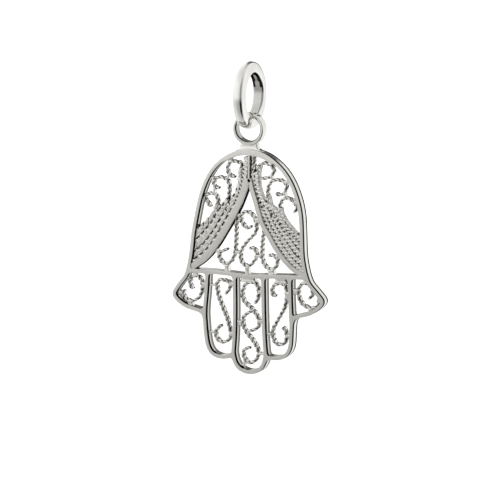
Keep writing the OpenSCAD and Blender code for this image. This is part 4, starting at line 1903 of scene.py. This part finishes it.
    def room(self) -> None:
        """Lights the room evenly."""
        world = bpy.data.worlds.new("studio")
        bpy.context.scene.world = world
        world.use_nodes = True
        tree = world.node_tree
        tree.nodes.clear()
        background = tree.nodes.new("ShaderNodeBackground")
        background.inputs["Color"].default_value = (1, 1, 1, 1)
        background.inputs["Strength"].default_value = self.surround
        output = tree.nodes.new("ShaderNodeOutputWorld")
        tree.links.new(background.outputs[0], output.inputs[0])

    def build(self) -> None:
        """Sets up the floor, the room, the tent and the lights."""
        self.floor()
        self.room()
        self.tent()
        for light in (
            Softbox("rear_light", (-0.1, 0.6, 0.6), (0.9, 0.6), 9.0, (-0.1, 0.35, -0.06)),
            Softbox("left_light", (-0.45, -0.12, 0.2), (0.35, 0.35), 0.3),
        ):
            light.hang()


@dataclass
class PhotoCamera:
    """A long lens at the photograph's viewing angle.

    Attributes:
        azimuth: Degrees to the right of the pendant's front.
        elevation: Degrees above the horizon.
        roll: Turn of the camera about its own axis, in degrees.
        distance: Distance from the pendant, in metres.
        pixel: What one pixel of the photograph covers on the pendant, in mm.
        frame_side: Side of the square photograph, in pixels.
        mark: Pixel of the photograph that shows the front of the crossbar's middle.
        front: Depth of the frame's front before the pendant's middle plane, in mm.
        sensor: Width of the camera's sensor, in mm.
        sight: Nearest and farthest distance that it sees, in metres.
    """

    azimuth: float = 22.5
    elevation: float = 9.5
    roll: float = -0.4
    distance: float = 0.5
    pixel: float = 0.11
    frame_side: int = 500
    mark: Point = (248.4, 277.0)
    front: float = 0.7
    sensor: float = 36
    sight: tuple[float, float] = (0.01, 20)

    def place(self) -> None:
        """Adds the camera, aims it and makes it the scene's camera."""
        bpy.ops.object.camera_add()
        camera = bpy.context.object
        camera.name = "photo_camera"
        turn, lift = math.radians(self.azimuth), math.radians(self.elevation)
        back = Vector(
            (math.sin(turn) * math.cos(lift), -math.cos(turn) * math.cos(lift), math.sin(lift))
        )
        aim = (-back).to_track_quat("-Z", "Y") @ Quaternion((0, 0, 1), math.radians(self.roll))
        centre = self.frame_side / 2
        right = aim @ Vector((1, 0, 0)) * (centre - self.mark[0]) * self.pixel * MM
        up = aim @ Vector((0, 1, 0)) * (self.mark[1] - centre) * self.pixel * MM
        target = Vector((0, -self.front * MM, CROSSBAR_Z * MM)) + right + up
        camera.rotation_mode = "QUATERNION"
        camera.rotation_quaternion = aim
        camera.location = target + back * self.distance
        covered = self.frame_side * self.pixel * MM
        camera.data.sensor_width = self.sensor
        camera.data.lens = self.sensor * self.distance / covered
        camera.data.clip_start, camera.data.clip_end = self.sight
        bpy.context.scene.camera = camera


class Pendant:
    """The whole pendant, in the order in which a silversmith builds it."""

    def __init__(self) -> None:
        """Mixes the finishes."""
        self.bright = SilverFinish(
            "polished_silver", (0.935, 0.926, 0.89), tarnish_and_shade=(0.015, 0.013, 0.012), roughness=0.07,
            uneven=0.02, scratches=0.0004, pits=0.0003,
        ).make()
        self.satin = SilverFinish(
            "worn_silver", (0.905, 0.895, 0.85), roughness=0.08, uneven=0.03, scratches=0.0006,
        ).make()
        self.rail = SilverFinish(
            "rail_silver", (0.865, 0.855, 0.81), clouded=0.06, uneven=0.04, scratches=0.001, pits=0.001,
        ).make()
        self.wire = SilverFinish(
            "twisted_silver", (0.945, 0.935, 0.89), tarnish_and_shade=(0.01, 0.009, 0.008), clouded=0.95,
            roughness=0.12, waves=0.004, pits=0.001, patches=2.6, clear=0.54,
        ).make()
        self.row = SilverFinish(
            "rolled_silver", (0.92, 0.91, 0.865), tarnish_and_shade=(0.01, 0.009, 0.008), clouded=0.6,
            roughness=0.15, waves=0.008, pits=0.006, patches=5.0, clear=0.5,
        ).make()
        # The plates' dark colour is patina behind the wires and painted shade where the wires shade them
        self.dark = SilverFinish(
            "plate_silver_patina_and_shade", (0.25, 0.245, 0.24), clouded=0.8, roughness=0.3, uneven=0.1, waves=0.006,
            scratches=0.001, pits=0.004, patches=2.2, clear=0.35,
        ).make()
        self.solder = SilverFinish(
            "solder", (0.905, 0.893, 0.85), tarnish_and_shade=(0.3, 0.28, 0.26), clouded=0.5, roughness=0.18,
            uneven=0.08, waves=0.01, pits=0.002, patches=1.6, clear=0.55,
        ).make()

    def build(self) -> list[bpy.types.Object]:
        """Builds every piece.

        Returns:
            The pieces.
        """
        leaves = Leaves()
        scrolls = Scrolls(TwistedWire())
        return [
            HandFrame().build(self.satin),
            leaves.rails(self.rail),
            leaves.plates(self.dark),
            *leaves.rows(self.row),
            scrolls.build(
                "left_leaf_wires",
                (LEFT_LEAF_SCROLLS[0][9:], LEFT_LEAF_SCROLLS[1][5:], LEFT_LEAF_SCROLLS[2][4:]),
                self.wire,
            ),
            scrolls.build(
                "right_leaf_wires",
                (
                    RIGHT_LEAF_SCROLLS[0][10:], RIGHT_LEAF_SCROLLS[1][9:], RIGHT_LEAF_SCROLLS[2][5:],
                    RIGHT_LEAF_SCROLLS[3][4:],
                ),
                self.wire,
            ),
            scrolls.build("palm_scrolls", PALM_SCROLLS, self.wire),
            scrolls.build("finger_scrolls", FINGER_SCROLLS, self.wire),
            scrolls.build("thumb_scrolls", THUMB_SCROLLS, self.wire),
            SolderJoints().build(self.solder),
            Ring().build(self.satin),
            Bail().build(self.bright),
        ]


def main() -> None:
    """Sets up the camera and the studio, builds the pendant and sets the view transform."""
    logging.basicConfig(level=logging.INFO, format="%(name)s: %(message)s")
    PhotoCamera().place()
    Studio().build()
    Pendant().build()
    bpy.context.scene.view_settings.view_transform = "Standard"


if __name__ == "__main__":
    main()
